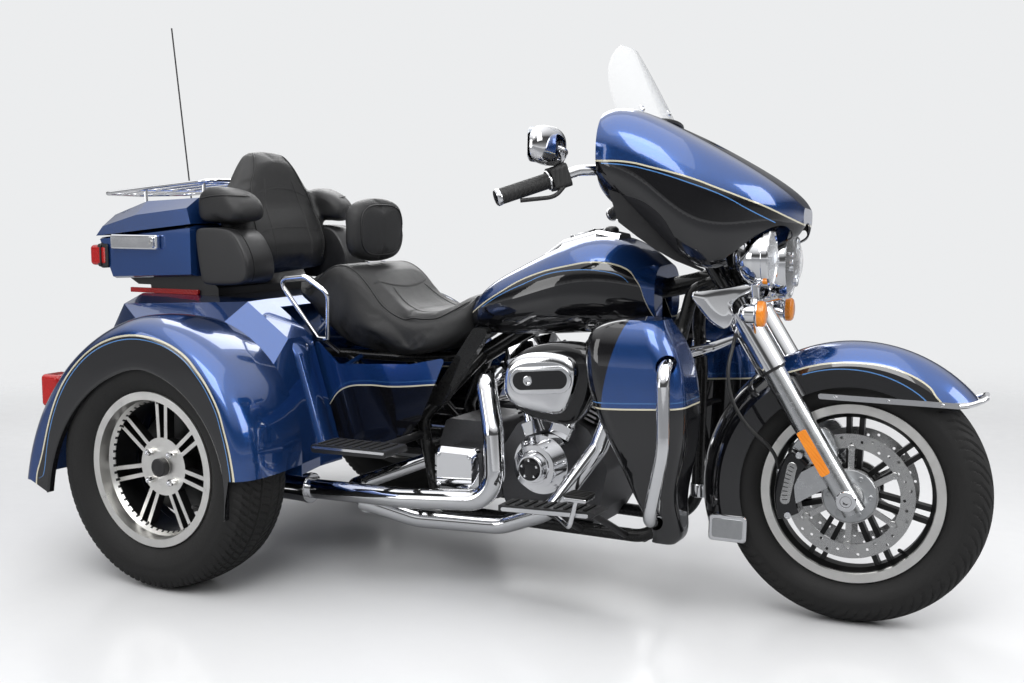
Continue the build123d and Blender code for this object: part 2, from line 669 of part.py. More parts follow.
def lid_hinge():
    """Knuckles and pins of the lid's two hinges, in the middle of the seam on the left side."""
    rear, front = Vector(BOX_REAR_SEAM[0], 0, BOX_REAR_SEAM[1]), Vector(BOX_FRONT_SEAM[0], 0, BOX_FRONT_SEAM[1])
    along = (front - rear).normalized()
    on_box, on_lid = [], []
    pin, barrel, length = 2.5, 6.0, 22.0
    for share in (0.25, 0.75):
        centre = rear + (front - rear) * share + Vector(0, LID_HINGE_Y, SEAM_GAP / 2)
        plane = Plane(centre, x_dir=(0, 1, 0), z_dir=along)
        for step in (-1, 0, 1):
            at = plane.offset(step * (length + FIT))
            knuckle = at * extrude(Circle(barrel), length / 2, both=True)
            if step == 0:
                leaf = at * Pos(-7, 7, 0) * Box(14, 10, length)
                on_lid.append((knuckle + leaf) - at * extrude(Circle(pin + RUNNING_FIT), length, both=True))
            else:
                on_box.append(knuckle + at * Pos(-8, -8, 0) * Box(16, 12, length))
        on_box.append(plane * extrude(Circle(pin), 1.5 * length + FIT, both=True))
    return on_box, on_lid


# ---------------------------------------------------------------- rear body, fenders, trunk door
def rear_body_solid(wall):
    """The rear body without its openings, made smaller by a wall. Clockwise side views by Y."""
    at_wheel = [
        (-440, 300), (-405, 430), (-335, 560), (-210, 650), (58, 688), (225, 570), (330, 333), (330, 300),
    ]
    at_shoulder = [
        (-474, 300), (-472, 430), (-468, 640), (-415, 722), (63, 746), (204, 650), (306, 330), (306, 300),
    ]
    at_deck = [
        (-478, 300), (-476, 430), (-470, 700), (-425, DECK_HEIGHT), (63, DECK_HEIGHT), (204, 650), (306, 330), (306, 300),
    ]
    y_wheel, y_shoulder, y_deck = TRUNK_HALF_WIDTH - wall, 336.0 - wall * 0.5, 250.0
    stations = [(y_deck, at_deck), (y_shoulder, at_shoulder), (y_wheel, at_wheel)]
    ordered = [(-y, outline) for y, outline in reversed(stations)] + stations
    return loft_along_y([(y, inset(outline, wall)) for y, outline in ordered])


def rear_body():
    """The rear body: a shell between the wheels with the trunk floor and the bulkhead in it."""
    outer, inner = rear_body_solid(0), rear_body_solid(SHELL)
    below = Pos(-60, 0, 300) * Box(1200, 2 * (TRUNK_HALF_WIDTH - SHELL), 2 * SHELL)
    shell = outer - inner - below
    floor = (Pos((-470 + BULKHEAD_X) / 2, 0, TRUNK_FLOOR - SHELL / 2) * Box(BULKHEAD_X + 470, 892, SHELL)) & outer
    bulkhead = (Pos(BULKHEAD_X, 0, 560) * Box(SHELL, 892, 520)) & outer
    under = Pos(BULKHEAD_X, 0, 350) * Box(SHELL + 2, 470, 120)
    lap = Pos(260, 0, 540) * Box(330, 470, 540)
    half, low, high = TRUNK_OPENING
    opening = Pos(-470, 0, (low + high) / 2) * Box(60, 2 * half, high - low)
    axle_slot = Pos(0, 0, 340) * Box(150, 1000, 120)
    door = (Pos(-468, 0, (low + high) / 2) * Box(24, 2 * half - 2 * DOOR_GAP, high - low - 2 * DOOR_GAP)) & outer
    pin, barrel, ear = 3.0, 7.0, 20.0
    hinge = Vector(TRUNK_HINGE_X, 0, TRUNK_HINGE_Z)
    body_side, door_side = [], []
    for y in (-200.0, 200.0):
        centre = hinge + Vector(0, y, 0)
        pin_hole = across(pin + RUNNING_FIT, 4 * ear, centre)
        lug = across(barrel, ear, centre) + (Pos(hinge.X + 8, y, hinge.Z + 9) * Box(16, ear, 14))
        door_side.append(lug - pin_hole)
        for step in (-1, 1):
            ear_at = centre + Vector(0, step * (ear + FIT), 0)
            body_side.append(across(barrel, ear, ear_at) + (Pos(ear_at.X + 8, ear_at.Y, ear_at.Z - 8) * Box(16, ear, 16)))
        body_side.append(across(pin, 3 * ear + 2 * FIT, centre))
    notch = [Pos(hinge.X + 9, y, hinge.Z + 9) * Box(30, ear + 12, 40) for y in (-200.0, 200.0)]
    shell = shell + floor + bulkhead - under - lap - opening - axle_slot
    PIECES["rear_body"] = shell - notch + body_side
    PIECES["trunk_door"] = door + door_side


def fender_solid(side, wall):
    """One rear fender without its wheel opening, made smaller by a wall."""
    # Columns: y, bulge beyond the flat side panel, bottom heights at the rear and the front.
    profile = [(TRUNK_HALF_WIDTH + FIT, 34.0), (600.0, 50.0), (660.0, 40.0), (686.0, 16.0), (HALF_WIDTH, 0.0)]
    faces = []
    for y, bulge in profile:
        out = bulge - wall
        rear, top, front = (-420 - out * 0.9, 258), (-38, 680 + out), (298 + out, 333)
        drop = 40 if wall else 0.0
        edges = [
            ThreePointArc(rear, (-348 - out * 0.85, 440 + out * 0.5), top),
            ThreePointArc(top, (268 + out * 0.8, 500 + out * 0.55), front),
        ]
        if drop:
            low_front, low_rear = (front[0], front[1] - drop), (rear[0], rear[1] - drop)
            edges += [Line(front, low_front), Line(low_front, low_rear), Line(low_rear, rear)]
        else:
            edges.append(Line(front, rear))
        inner_y = y - (wall if y > 690 else 0)
        faces.append(Plane.XZ.offset(-side * inner_y) * make_face(edges))
    return loft(faces, ruled=True)


def fenders():
    """The two rear fenders: shells with a rounded crown over each wheel and an open arch."""
    shells = []
    for side in (1, -1):
        outer, inner = fender_solid(side, 0), fender_solid(side, SHELL)
        arch = make_face([
            ThreePointArc((-352, 230), (-287, 409), (-6, 597)),
            ThreePointArc((-6, 597), (233, 457), (278, 230)),
            Line((278, 230), (-352, 230)),
        ])
        reach = extrude(Plane.XZ.offset(-side * 720) * arch, side * 60)
        shell = outer - inner - reach
        shells.append(shell)
    PIECES["rear_fenders"] = gather(shells)


# ---------------------------------------------------------------- covers, guards and controls
COVER_Y = 222.0


def side_covers():
    """The painted covers under the seat and the cast covers over the frame in front of them."""
    outline = [(207, 330), (207, 640), (288, 572), (529, 586), (640, 610), (560, 440), (480, 330)]
    cover = slab(outline, -COVER_Y, -COVER_Y + SHELL, 8) - passenger_stays(4)
    boss = bar((300, -COVER_Y + 1, 560), (300, -118, 586), 8) - PIECES["frame"]
    PIECES["side_covers"] = gather(both_sides(cover + boss))
    strip = [(700, 690), (752, 690), (600, 470), (545, 470)]
    stud = bar((580, -151, 505), (566, -70, 500), 8) - PIECES["frame"]
    PIECES["frame_covers"] = gather(both_sides(slab(strip, -176, -150, 12) + stud))


def rear_lamps():
    """A lamp on the rear of each fender and the long lamp across the top of the trunk."""
    body = rounded((-372, 622, 505), (70, 76, 90), 12)
    outer = fender_solid(1, 0)
    trunk_lamp = rounded((-441, 0, DECK_HEIGHT + 12.3), (50, 360, 24), 8)
    return [trunk_lamp] + both_sides(body - outer)


def leg_shields():
    """The two leg shields: deep moulded shells, open behind, with a flat floor."""
    stations = [
        (196, 1240, 1300, 170, 250, 20),
        (300, 1222, 1322, 178, 310, 36),
        (400, 1188, 1342, 186, 350, 44),
        (470, 1156, 1356, 190, 366, 50),
        (540, 1126, 1358, 192, 372, 50),
        (620, 1106, 1348, 192, 372, 50),
        (686, 1104, 1326, 198, 366, 48),
        (748, 1180, 1290, 222, 335, 40),
    ]
    top = len(stations) - 1
    hollow = [
        (z + (SHELL if i == 0 else -SHELL if i == top else 0), a + SHELL, b - SHELL, c + SHELL, d - SHELL, r - SHELL)
        for i, (z, a, b, c, d, r) in enumerate(stations)
    ]
    outer, inner = loft_along_z(stations), loft_along_z(hollow)
    back = Pos(1110, 276, 560) * Box(120, 130, 150)
    shield = outer - inner - back - guard_path(2 * GUARD_RADIUS + 12)
    stay = bar((1238, 120, 480), (1238, 193, 480), 9) - PIECES["frame"]
    PIECES["leg_shields"] = gather(both_sides(shield + stay))


GUARD_RADIUS = 16.0


def guard_path(diameter):
    """The right half of the engine guard: from the middle, out and round the leg shield, and back."""
    side = [
        (1290, 0, 648), (1298, -230, 656), (1322, -388, 650), (1330, -400, 460), (1285, -372, 285),
        (1258, -245, 250), (1236, -133.4, 250),
    ]
    half = rod(side, diameter, [60, 50, 160, 60, 60])
    return half + mirror(half, about=Plane.XZ)


def engine_guard():
    """One chrome tube in front of the leg shields, clamped to the downtubes at top and bottom."""
    bracket = bar((1241, -84, 650), (1290, -84, 651), 9) - PIECES["frame"]
    PIECES["engine_guard"] = guard_path(2 * GUARD_RADIUS) + both_sides(bracket)


def passenger_stays(margin):
    """The two bars that carry a passenger's board on the right, or the room around them."""
    front = bar((540, -375, 386), (508, -145.4, 378), 11 + margin)
    return front + bar((430, -375, 382), (506, -145.4, 330), 9 + margin)


def footboards():
    """Rider's boards with rubber tops, passenger's boards on arms, and both foot pedals."""
    outline = [(905, 268), (905, 284), (1150, 296), (1168, 292), (1155, 280)]
    board = slab(outline, -408, -334)
    arm = bar((1000, -345, 268), (1000, -137.3, 172), 9) + bar((1126, -345, 276), (1126, -135.3, 172), 9)
    board = board + arm
    rider_boards = both_sides(board)
    rear_board = slab([(380, 374), (380, 396), (615, 400), (615, 380)], -470, -370, 8)
    PIECES["footboards"] = gather(rider_boards, both_sides(rear_board + (passenger_stays(0) - PIECES["frame"])))
    arm = rod([(1122, 420, 322), (1104, 420, 256), (1004, 300, 250)], 12, 16)
    brake = (mirror(arm, about=Plane.XZ) + rounded((1122, -404, 326), (58, 54, 12), 5)) - rider_boards[0]
    shift = (arm + bar((1122, 424, 322), (1122, 374, 322), 10)) - rider_boards[1]
    PIECES["foot_pedals"] = gather(brake, shift)


def grab_rails(backrest_stays):
    """The chrome rails beside the passenger's seat and the stays of the rider's backrest."""
    foot_z = 638.0
    rail = rod(
        [(204, -204, foot_z), (84, -232, 806), (189, -240, 816), (268, -238, 770), (238, -204, foot_z)],
        13, [20, 30, 30],
    )
    rail += bar((204, -204, foot_z), (238, -204, foot_z), 6.5)
    rail += bar((221, -204, foot_z), (221, -122, SEAT_RAIL_Z), 6.5) - PIECES["frame"]
    PIECES["grab_rails"] = gather(both_sides(rail), backrest_stays)


def rack_and_lamps(lid_outer, tail_lamps):
    """The chrome rack on the luggage lid, the box's corner lamps, its latch and the antenna."""
    top = 1070.0
    ring = rod(
        [(-420, -190, top), (-640, -190, top - 20), (-680, 0, top - 24), (-640, 190, top - 20),
         (-200, 190, top + 18), (-200, -190, top + 18), (-440, -190, top - 2)],
        11, 40,
    )
    slats = [
        bar((-655, y, top - 21), (-200, y, top + 18), 4.5) for y in (-110, -37, 37, 110)
    ]
    posts = [bar((x, y, 990), (x, y, z), 6) for x, z in ((-500, top - 8), (-260, top + 12)) for y in (-150, 150)]
    links = [bar((x, -190, z), (x, 190, z), 5) for x, z in ((-500, top - 8), (-260, top + 12))]
    PIECES["luggage_rack"] = (ring + slats + posts + links) - lid_outer
    lamp = rounded((-560, 262, 862), (74, 70, 62), 12)
    box_solid = loft_along_y(
        [(-BOX_HALF - 1, [BOX_REAR_LOW, BOX_REAR_SEAM, BOX_FRONT_SEAM, BOX_FRONT_LOW]),
         (BOX_HALF + 1, [BOX_REAR_LOW, BOX_REAR_SEAM, BOX_FRONT_SEAM, BOX_FRONT_LOW])]
    )
    PIECES["rear_lamps"] = gather(both_sides(lamp - box_solid), tail_lamps)
    PIECES["box_latch"] = rounded((-400, -BOX_HALF - 9.5, 905), (190, 18, 44), 6)
    mast = bar((-700, 282, 850), (-787, 280, 1628), 2.6) + bar((-699, 282, 835), (-704, 282, 884), 9)
    arm = slab([(-462, 785), (-462, 800), (-560, 800), (-690, 838), (-712, 838), (-712, 830), (-560, 785)], 262, 302)
    PIECES["antenna"] = (mast + arm) - PIECES["luggage_box"]


# ---------------------------------------------------------------- front end, drawn straight ahead
SLIDER_TOP = 345.0
COVER_LOW = 352.0
COVER_HIGH = 508.0
CLAMP_LOW_Z = 790.0
CLAMP_HIGH_Z = 948.0
CALIPER_UP = 74.0
CALIPER_BACK = -126.0
CALIPER_HALF = 24.0
CALIPER_INNER_RADIUS = 127.0


def clamp(z, width, height):
    """A fork clamp: a thick plate square to the steering axis that reaches both fork tubes."""
    up = (z - FRONT_AXLE.Z) / cos(radians(FORK_ANGLE))
    middle = (on_axis(z) + on_fork(up)) / 2
    plane = Plane(middle, x_dir=(cos(radians(RAKE)), 0, sin(radians(RAKE))), z_dir=STEER_UP)
    shape = plane * extrude(RectangleRounded(width, 2 * FORK_HALF_SPACING + 76, 34), height / 2, both=True)
    return shape


def fork():
    """Fork legs with cast sliders, chrome covers, two clamps, the stem, the axle and calipers."""
    legs, covers, sliders = [], [], []
    tube_top = (CLAMP_HIGH_Z - FRONT_AXLE.Z) / cos(radians(FORK_ANGLE)) + 22
    for side in (FORK_HALF_SPACING, -FORK_HALF_SPACING):
        legs.append(bar(on_fork(SLIDER_TOP - 40, 0, side), on_fork(tube_top, 0, side), FORK_TUBE_RADIUS))
        slider = bar(on_fork(-34, 0, side), on_fork(SLIDER_TOP, 0, side), SLIDER_RADIUS)
        slider -= bar(on_fork(SLIDER_TOP - 41, 0, side), on_fork(SLIDER_TOP + 1, 0, side), FORK_TUBE_RADIUS)
        slider -= across(AXLE_RADIUS + RUNNING_FIT, 2 * SLIDER_RADIUS + 4, FRONT_AXLE + Vector(0, side, 0))
        turn = 1 if side > 0 else -1
        lug_y = turn * (FRONT_DISC_Y + DISC_THICKNESS / 2 + CALIPER_HALF + FIT + 7)
        lug_plate = Plane(
            on_fork(CALIPER_UP, CALIPER_BACK / 2, lug_y), x_dir=FORK_FORWARD, z_dir=(0, 1, 0)
        ) * extrude(RectangleRounded(20 - CALIPER_BACK, 60, 10), 7, both=True)
        sliders.append(slider + lug_plate)
        cover = bar(on_fork(COVER_LOW, 0, side), on_fork(COVER_HIGH, 0, side), SLIDER_RADIUS + 8)
        cover -= bar(on_fork(COVER_LOW - 1, 0, side), on_fork(COVER_HIGH + 1, 0, side), FORK_TUBE_RADIUS)
        covers.append(cover)
    stem = bar(on_axis(CLAMP_LOW_Z), on_axis(CLAMP_HIGH_Z), STEM_RADIUS)
    clamps = clamp(CLAMP_LOW_Z, 74, 30) + clamp(CLAMP_HIGH_Z, 84, 26) + stem + legs
    PIECES["fork_clamps"] = clamps
    PIECES["fork_sliders"] = gather(sliders)
    PIECES["fork_covers"] = gather([c - clamp(CLAMP_LOW_Z, 74, 30) for c in covers])
    axle = across(AXLE_RADIUS, 2 * FORK_HALF_SPACING + 2 * SLIDER_RADIUS + 14, FRONT_AXLE)
    PIECES["front_axle"] = axle - across(AXLE_BORE_RADIUS, 2 * FORK_HALF_SPACING + 90, FRONT_AXLE)
    calipers = []
    for turn in (1, -1):
        centre = on_fork(CALIPER_UP, CALIPER_BACK, turn * (FRONT_DISC_Y + DISC_THICKNESS / 2))
        plane = Plane(centre, x_dir=FORK_FORWARD, z_dir=(0, 1, 0))
        body = plane * extrude(SlotOverall(150, 62, rotation=78), CALIPER_HALF, both=True)
        slot = plane * extrude(Circle(400), DISC_THICKNESS / 2 + 1.2, both=True)
        slot &= across(FRONT_DISC_RADIUS + 5, 400, FRONT_AXLE)
        calipers.append(body - slot - across(CALIPER_INNER_RADIUS, 400, FRONT_AXLE))
    PIECES["calipers"] = gather(calipers)


FENDER_INNER = 352.0
FENDER_OUTER = 357.0
FENDER_HALF = 86.0


def front_fender():
    """The front fender: a deep shell of revolution about the axle, with skirts on both sides."""
    thick = FENDER_OUTER - FENDER_INNER
    deep = 262.0
    outline = [
        Line((-FENDER_HALF, deep), (-FENDER_HALF, 312)),
        ThreePointArc((-FENDER_HALF, 312), (0, FENDER_OUTER + 12), (FENDER_HALF, 312)),
        Line((FENDER_HALF, 312), (FENDER_HALF, deep)),
        Line((FENDER_HALF, deep), (FENDER_HALF - thick, deep)),
        Line((FENDER_HALF - thick, deep), (FENDER_HALF - thick, 312)),
        ThreePointArc((FENDER_HALF - thick, 312), (0, FENDER_INNER + 12), (-FENDER_HALF + thick, 312)),
        Line((-FENDER_HALF + thick, 312), (-FENDER_HALF + thick, deep)),
        Line((-FENDER_HALF + thick, deep), (-FENDER_HALF, deep)),
    ]
    profile = Plane.YZ * make_face(outline)
    rear_angle, wrap = -112.0, 161.0
    shell = revolve(Rot(0, rear_angle, 0) * profile, axis=Axis.Y, revolution_arc=wrap)
    above_trim = slab([(-66, 100), (-66, 228), (330, 243), (330, 100)], -200, 200)
    shell = Pos(*FRONT_AXLE) * (shell - above_trim)
    bracket = [
        bar(on_fork(290, 0, s * (FORK_HALF_SPACING - SLIDER_RADIUS + 3)), on_fork(290, 0, s * (FENDER_HALF - 2)), 12)
        for s in (1, -1)
    ]
    sliders = PIECES["fork_sliders"]
    PIECES["front_fender"] = (shell + bracket) - sliders


def handlebar():
    """The handlebar on its risers, with grips, switch housings, levers and mirrors."""
    bend = [(1262, 0, 998), (1246, -90, 1010), (1172, -215, 1088), (1049, -321, 1078), (903, -433, 1012)]
    half = rod(bend, 25, [60, 60, 50])
    risers = [bar(on_axis(CLAMP_HIGH_Z) + Vector(-20, s * 42, 8), (1255, s * 42, 1002), 15) for s in (1, -1)]
    PIECES["handlebar"] = (half + mirror(half, about=Plane.XZ) + risers) - clamp(CLAMP_HIGH_Z, 84, 26)
    inner, outer = Vector(993, -364, 1052.7), Vector(903, -433, 1012)
    along = (outer - inner).normalized()
    bar_solid = half
    grip = bar(inner, outer + along * 6, 19) - bar_solid
    housing_at = inner - along * 24
    housing = Plane(inner - along * 44, z_dir=along) * extrude(RectangleRounded(48, 56, 10), 42)
    housing_body = housing - bar_solid
    pivot = inner + Vector(34, 6, -14)
    lever = rod([pivot, pivot + along * 60 + Vector(34, 6, -6), outer + Vector(40, 12, -10)], 10, 40)
    lever += bar(pivot, housing_at + Vector(0, 0, -4), 9)
    lever = (lever - housing).solids().sort_by(SortBy.VOLUME)[-1]
    PIECES["hand_controls"] = gather(both_sides(housing_body + grip + lever))
    stem_low = inner - along * 24 + Vector(6, 0, 24)
    mirror_at = Vector(1004, -399, 1129)
    stem = rod([stem_low, stem_low + Vector(28, 4, 40), mirror_at + Vector(30, 30, -10), mirror_at + Vector(12, 4, 0)], 9, [14, 20])
    head = Pos(*mirror_at) * Rot(0, 0, -10) * fillet(Box(36, 150, 92).edges(), 17)
    PIECES["mirrors"] = gather(both_sides((stem + head) - housing))


FAIRING_STATIONS = [
    (1536, 70, 962, 1006, 20),
    (1500, 176, 922, 1042, 50),
    (1430, 256, 876, 1092, 90),
    (1330, 310, 852, 1150, 120),
    (1230, 332, 922, 1202, 120),
    (1150, 334, 980, 1230, 110),
    (1090, 324, 1030, 1222, 88),
]
LAMP_CENTRE = Vector(1490, 0, 876)
LAMP_BAR_X = 1446.0
WING_ANGLE = 28.7
LAMP_BAR_Z = 782.0


def fairing():
    """The fork-mounted fairing: an outer shell, the inner dash, the headlamp and a clear screen."""
    outer = loft_along_x(FAIRING_STATIONS)
    last = len(FAIRING_STATIONS) - 1
    hollow = [
        (x - (SHELL if i == 0 else 0) - (2 if i == last else 0), w - SHELL, a + SHELL, b - SHELL, r - SHELL)
        for i, (x, w, a, b, r) in enumerate(FAIRING_STATIONS)
    ]
    inner = loft_along_x(hollow)
    lamp_hole = bar(LAMP_CENTRE - Vector(120, 0, 0), LAMP_CENTRE + Vector(80, 0, 0), 96)
    under = Pos(1250, 0, 886) * Box(260, 450, 122)
    slot = Pos(1290, 0, 1160) * Box(60, 150, 30)
    PIECES["fairing_outer"] = outer - inner - lamp_hole - under - slot
    dash = (Pos(1182, 0, 1110) * Box(26, 900, 170)) & loft_along_x(hollow)
    cut = both_sides(Pos(1182, 205, 1060) * Box(60, 150, 116))
    wing_line = [
        (1124, 1034), (1148, 958), (1186, 927), (1226, 897), (1268, 872), (1326, 848), (1340, 862), (1290, 930),
        (1220, 1000),
    ]
    wing_plate = Pos(1229, -267, 930) * Rot(0, 0, WING_ANGLE) * Box(400, SHELL, 400)
    wing = (slab(wing_line, -330, -140) & wing_plate) - outer
    stay = bar((1264, 64, 936), (1186, 64, 1034), 8) - clamp(CLAMP_HIGH_Z, 84, 26)
    PIECES["fairing_inner"] = gather(dash - cut + both_sides(stay), both_sides(wing))
    lamp = [
        Line((-80, 0), (-80, 50)), Line((-80, 50), (-20, 89)), Line((-20, 89), (4, 89)), Line((4, 89), (4, 83)),
        dome_arc(4, 83, 24), Line((28, 0), (-80, 0)),
    ]
    lamp_bar = across(9, 372, (LAMP_BAR_X, 0, LAMP_BAR_Z))
    bracket = bar((LAMP_BAR_X, 0, LAMP_BAR_Z + 2), (LAMP_BAR_X + 6, 0, LAMP_BAR_Z + 34), 12) - lamp_bar
    PIECES["headlamp"] = turned_about_x(lamp, LAMP_CENTRE) + bracket
    spots, signals = [], []
    for s in (1, -1):
        centre = Vector(1478, s * 170, 883)
        bucket = [
            Line((-84, 0), (-84, 20)), ThreePointArc((-84, 20), (-56, 56), (-10, 68)), Line((-10, 68), (0, 68)),
            Line((0, 68), (0, 62)), dome_arc(0, 62, 11), Line((11, 0), (-84, 0)),
        ]
        spots += [turned_about_x(bucket, centre), bar(centre - Vector(36, 0, 40), (LAMP_BAR_X, s * 165, LAMP_BAR_Z), 10)]
        link = bar((LAMP_BAR_X, s * 60, LAMP_BAR_Z), (1400, s * 60, CLAMP_LOW_Z + 4), 8)
        spots.append(link - clamp(CLAMP_LOW_Z, 74, 30))
        stalk = bar((1446, s * 200, 754), (LAMP_BAR_X, s * 184, LAMP_BAR_Z), 8)
        signals.append(rounded((1446, s * 200, 752), (64, 46, 46), 21) + stalk)
        PIECES["fairing_outer"] -= bar(centre - Vector(90, 0, 0), centre + Vector(60, 0, 0), 76)
    PIECES["auxiliary_lamps"] = lamp_bar + spots + signals


def windshield():
    """The clear screen: a bowed sheet that stands in the top of the fairing and leans back."""
    faces = []
    # Columns: x of the middle, z, half width, how far the edges sweep back.
    for x, z, half, sweep_back in ((1196, 1206, 235, 70), (1140, 1310, 205, 58), (1082, 1412, 70, 12)):
        front = ThreePointArc((x - sweep_back, -half), (x, 0), (x - sweep_back, half))
        rear = ThreePointArc((x - sweep_back - SHELL, half), (x - SHELL, 0), (x - sweep_back - SHELL, -half))
        ends = [Line(front @ 1, rear @ 0), Line(rear @ 1, front @ 0)]
        faces.append(Plane.XY.offset(z) * make_face([front, ends[0], rear, ends[1]]))
    sheet = loft(faces)
    PIECES["windshield"] = sheet - loft_along_x(FAIRING_STATIONS)


HOSE_RADIUS = 4.5
HOSE_POINTS = [
    (1392, -88, 742), (1396, -140, 690), (1386, -176, 620), (1396, -182, 550), (1430, -172, 490),
    (1466, -150, 452), (1488, -118, 425), (1500, -92, 392), (1504, -80, 352),
]


def brake_hoses():
    """The two front brake hoses, which loop back from the lower clamp down to the calipers."""
    points = [Vector(*point) for point in HOSE_POINTS]
    radii = []
    for before, at, after in zip(points, points[1:], points[2:]):
        shorter = min((at - before).length, (after - at).length)
        radii.append(0.45 * shorter / tan(radians((at - before).get_angle(after - at) / 2)))
    print("brake hose bend radii", [round(r) for r in radii])
    hose = rod(HOSE_POINTS, 2 * HOSE_RADIUS, radii)
    length = sum((b - a).length for a, b in zip(points, points[1:]))
    print("brake hose length", round(length), "volume over section times length",
          round(hose.volume / (pi * HOSE_RADIUS**2 * length), 3))
    for name in ("fork_clamps", "fork_covers", "calipers"):
        hose -= PIECES[name]
    PIECES["brake_hoses"] = gather(both_sides(hose.solids().sort_by(SortBy.VOLUME)[-1]))


STEERING = [
    "front_rim", "front_discs", "front_tyre", "fork_clamps", "fork_sliders", "fork_covers", "front_axle",
    "calipers", "front_fender", "handlebar", "hand_controls", "mirrors", "fairing_outer", "fairing_inner",
    "headlamp", "auxiliary_lamps", "windshield", "brake_hoses",
]


for side, name in ((1, "left"), (-1, "right")):
    rear_wheel(side, name)
front_wheel()
rear_axle()
frame()
engine()
engine_covers(gearbox())
pushrods()
air_cleaner()
exhaust()
tank()
stays = seat()
lid_outer = luggage_box()
rear_body()
fenders()
side_covers()
leg_shields()
engine_guard()
footboards()
grab_rails(stays)
rack_and_lamps(lid_outer, rear_lamps())
fork()
front_fender()
handlebar()
fairing()
windshield()
brake_hoses()

# ---------------------------------------------------------------- parked pose, origin and export
steering_axis = Axis(STEER_FOOT, STEER_UP)
for name in STEERING:
    PIECES[name] = PIECES[name].rotate(steering_axis, PARKED_STEER)
boxes = [shape.bounding_box() for shape in PIECES.values()]
middle_x = (min(b.min.X for b in boxes) + max(b.max.X for b in boxes)) / 2
middle_y = (min(b.min.Y for b in boxes) + max(b.max.Y for b in boxes)) / 2
print("origin moved by", round(middle_x, 3), round(middle_y, 3))
os.makedirs("parts", exist_ok=True)
for name, shape in PIECES.items():
    export_step(Pos(-middle_x, -middle_y, 0) * shape, f"parts/{name}.step")
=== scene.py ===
"""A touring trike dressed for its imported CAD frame: paint, chrome, leather, rubber and small parts.

Everything is in metres in the frame's own axes: X forward, Y to the rider's left, Z up. Each section
makes one piece of the machine, in about the order in which the machine is put together.
"""

import bmesh
import bpy
import numpy as np
from mathutils import Matrix, Vector


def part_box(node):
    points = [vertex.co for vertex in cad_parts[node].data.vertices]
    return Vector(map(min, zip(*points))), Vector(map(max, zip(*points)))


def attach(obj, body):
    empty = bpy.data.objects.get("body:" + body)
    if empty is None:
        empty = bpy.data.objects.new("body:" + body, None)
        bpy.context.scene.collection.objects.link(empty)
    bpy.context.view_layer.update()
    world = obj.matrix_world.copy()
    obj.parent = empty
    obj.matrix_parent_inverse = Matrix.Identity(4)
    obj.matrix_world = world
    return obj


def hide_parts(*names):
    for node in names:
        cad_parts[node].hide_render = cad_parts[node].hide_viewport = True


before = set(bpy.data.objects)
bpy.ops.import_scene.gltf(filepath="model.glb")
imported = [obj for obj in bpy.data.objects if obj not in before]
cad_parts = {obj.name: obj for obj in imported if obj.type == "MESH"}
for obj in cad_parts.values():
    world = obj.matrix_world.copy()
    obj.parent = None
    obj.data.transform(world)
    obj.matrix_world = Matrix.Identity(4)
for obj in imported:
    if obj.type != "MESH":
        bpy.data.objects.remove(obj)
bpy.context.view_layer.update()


# ---------------------------------------------------------------- rear tyres
# Two wide steel-belted road tyres of black rubber, moulded in one piece. The tread has four
# grooves round it and slanted sipes across it, and the sidewall carries thin moulded rings.
rear_axle_x = float(np.mean([corner[0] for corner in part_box("rear_right_rim")]))
rear_axle_z, rear_wheel_y = 0.324, 0.5775


def arc(start, through, end, count):
    """Points of the circle through three points: the centre is where the bisectors of both chords
    meet, and the angle runs evenly from the first point to the last by way of the second."""
    a, b, c = (np.array(p, float) for p in (start, through, end))
    lines = 2 * np.array([b - a, c - a])
    centre = np.linalg.solve(lines, [b @ b - a @ a, c @ c - a @ a])
    angles = [np.arctan2(*(p - centre)[::-1]) for p in (a, b, c)]
    whole = (angles[2] - angles[0]) % (2 * np.pi)
    if (angles[1] - angles[0]) % (2 * np.pi) > whole:
        whole -= 2 * np.pi
    turn = angles[0] + whole * np.linspace(0, 1, count)
    radius = np.linalg.norm(a - centre)
    return centre + radius * np.stack([np.cos(turn), np.sin(turn)], axis=1)


def skin(points, around=(False, False)):
    """The faces over a grid of points: one quad between each four neighbours, with the last row
    or column joined to the first where the shape goes all the way round."""
    rows, columns = points.shape[:2]
    index = np.arange(rows * columns).reshape(rows, columns)
    if around[0]:
        index = np.vstack([index, index[:1]])
    if around[1]:
        index = np.hstack([index, index[:, :1]])
    corners = [index[:-1, :-1], index[:-1, 1:], index[1:, 1:], index[1:, :-1]]
    return points.reshape(-1, 3), np.stack(corners, axis=-1).reshape(-1, 4)


def build(name, skins, look, body, stands_for=None, crease=35.0, outline=None):
    """One piece from a list of skins. Points that coincide are merged, which closes seams and
    poles, and the faces are turned outwards. The outline is the UV of each point, if it has one."""
    counts = np.cumsum([0] + [len(points) for points, _ in skins])
    quads = np.concatenate([quads + start for (_, quads), start in zip(skins, counts)])
    mesh = bpy.data.meshes.new(name)
    mesh.from_pydata(np.concatenate([points for points, _ in skins]), [], quads.tolist())
    if outline is not None:
        layer = mesh.uv_layers.new(name="surface")
        corner = np.empty(len(mesh.loops), dtype=np.int32)
        mesh.loops.foreach_get("vertex_index", corner)
        layer.data.foreach_set("uv", outline.reshape(-1, 2)[corner].astype(np.float32).ravel())
    closed(mesh, 2e-6)
    mesh.shade_smooth()
    mesh.set_sharp_from_angle(angle=np.radians(crease))
    mesh.materials.append(look.material)
    piece = bpy.data.objects.new(name, mesh)
    bpy.context.collection.objects.link(piece)
    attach(piece, body)
    if stands_for:
        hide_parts(stands_for)
    return piece


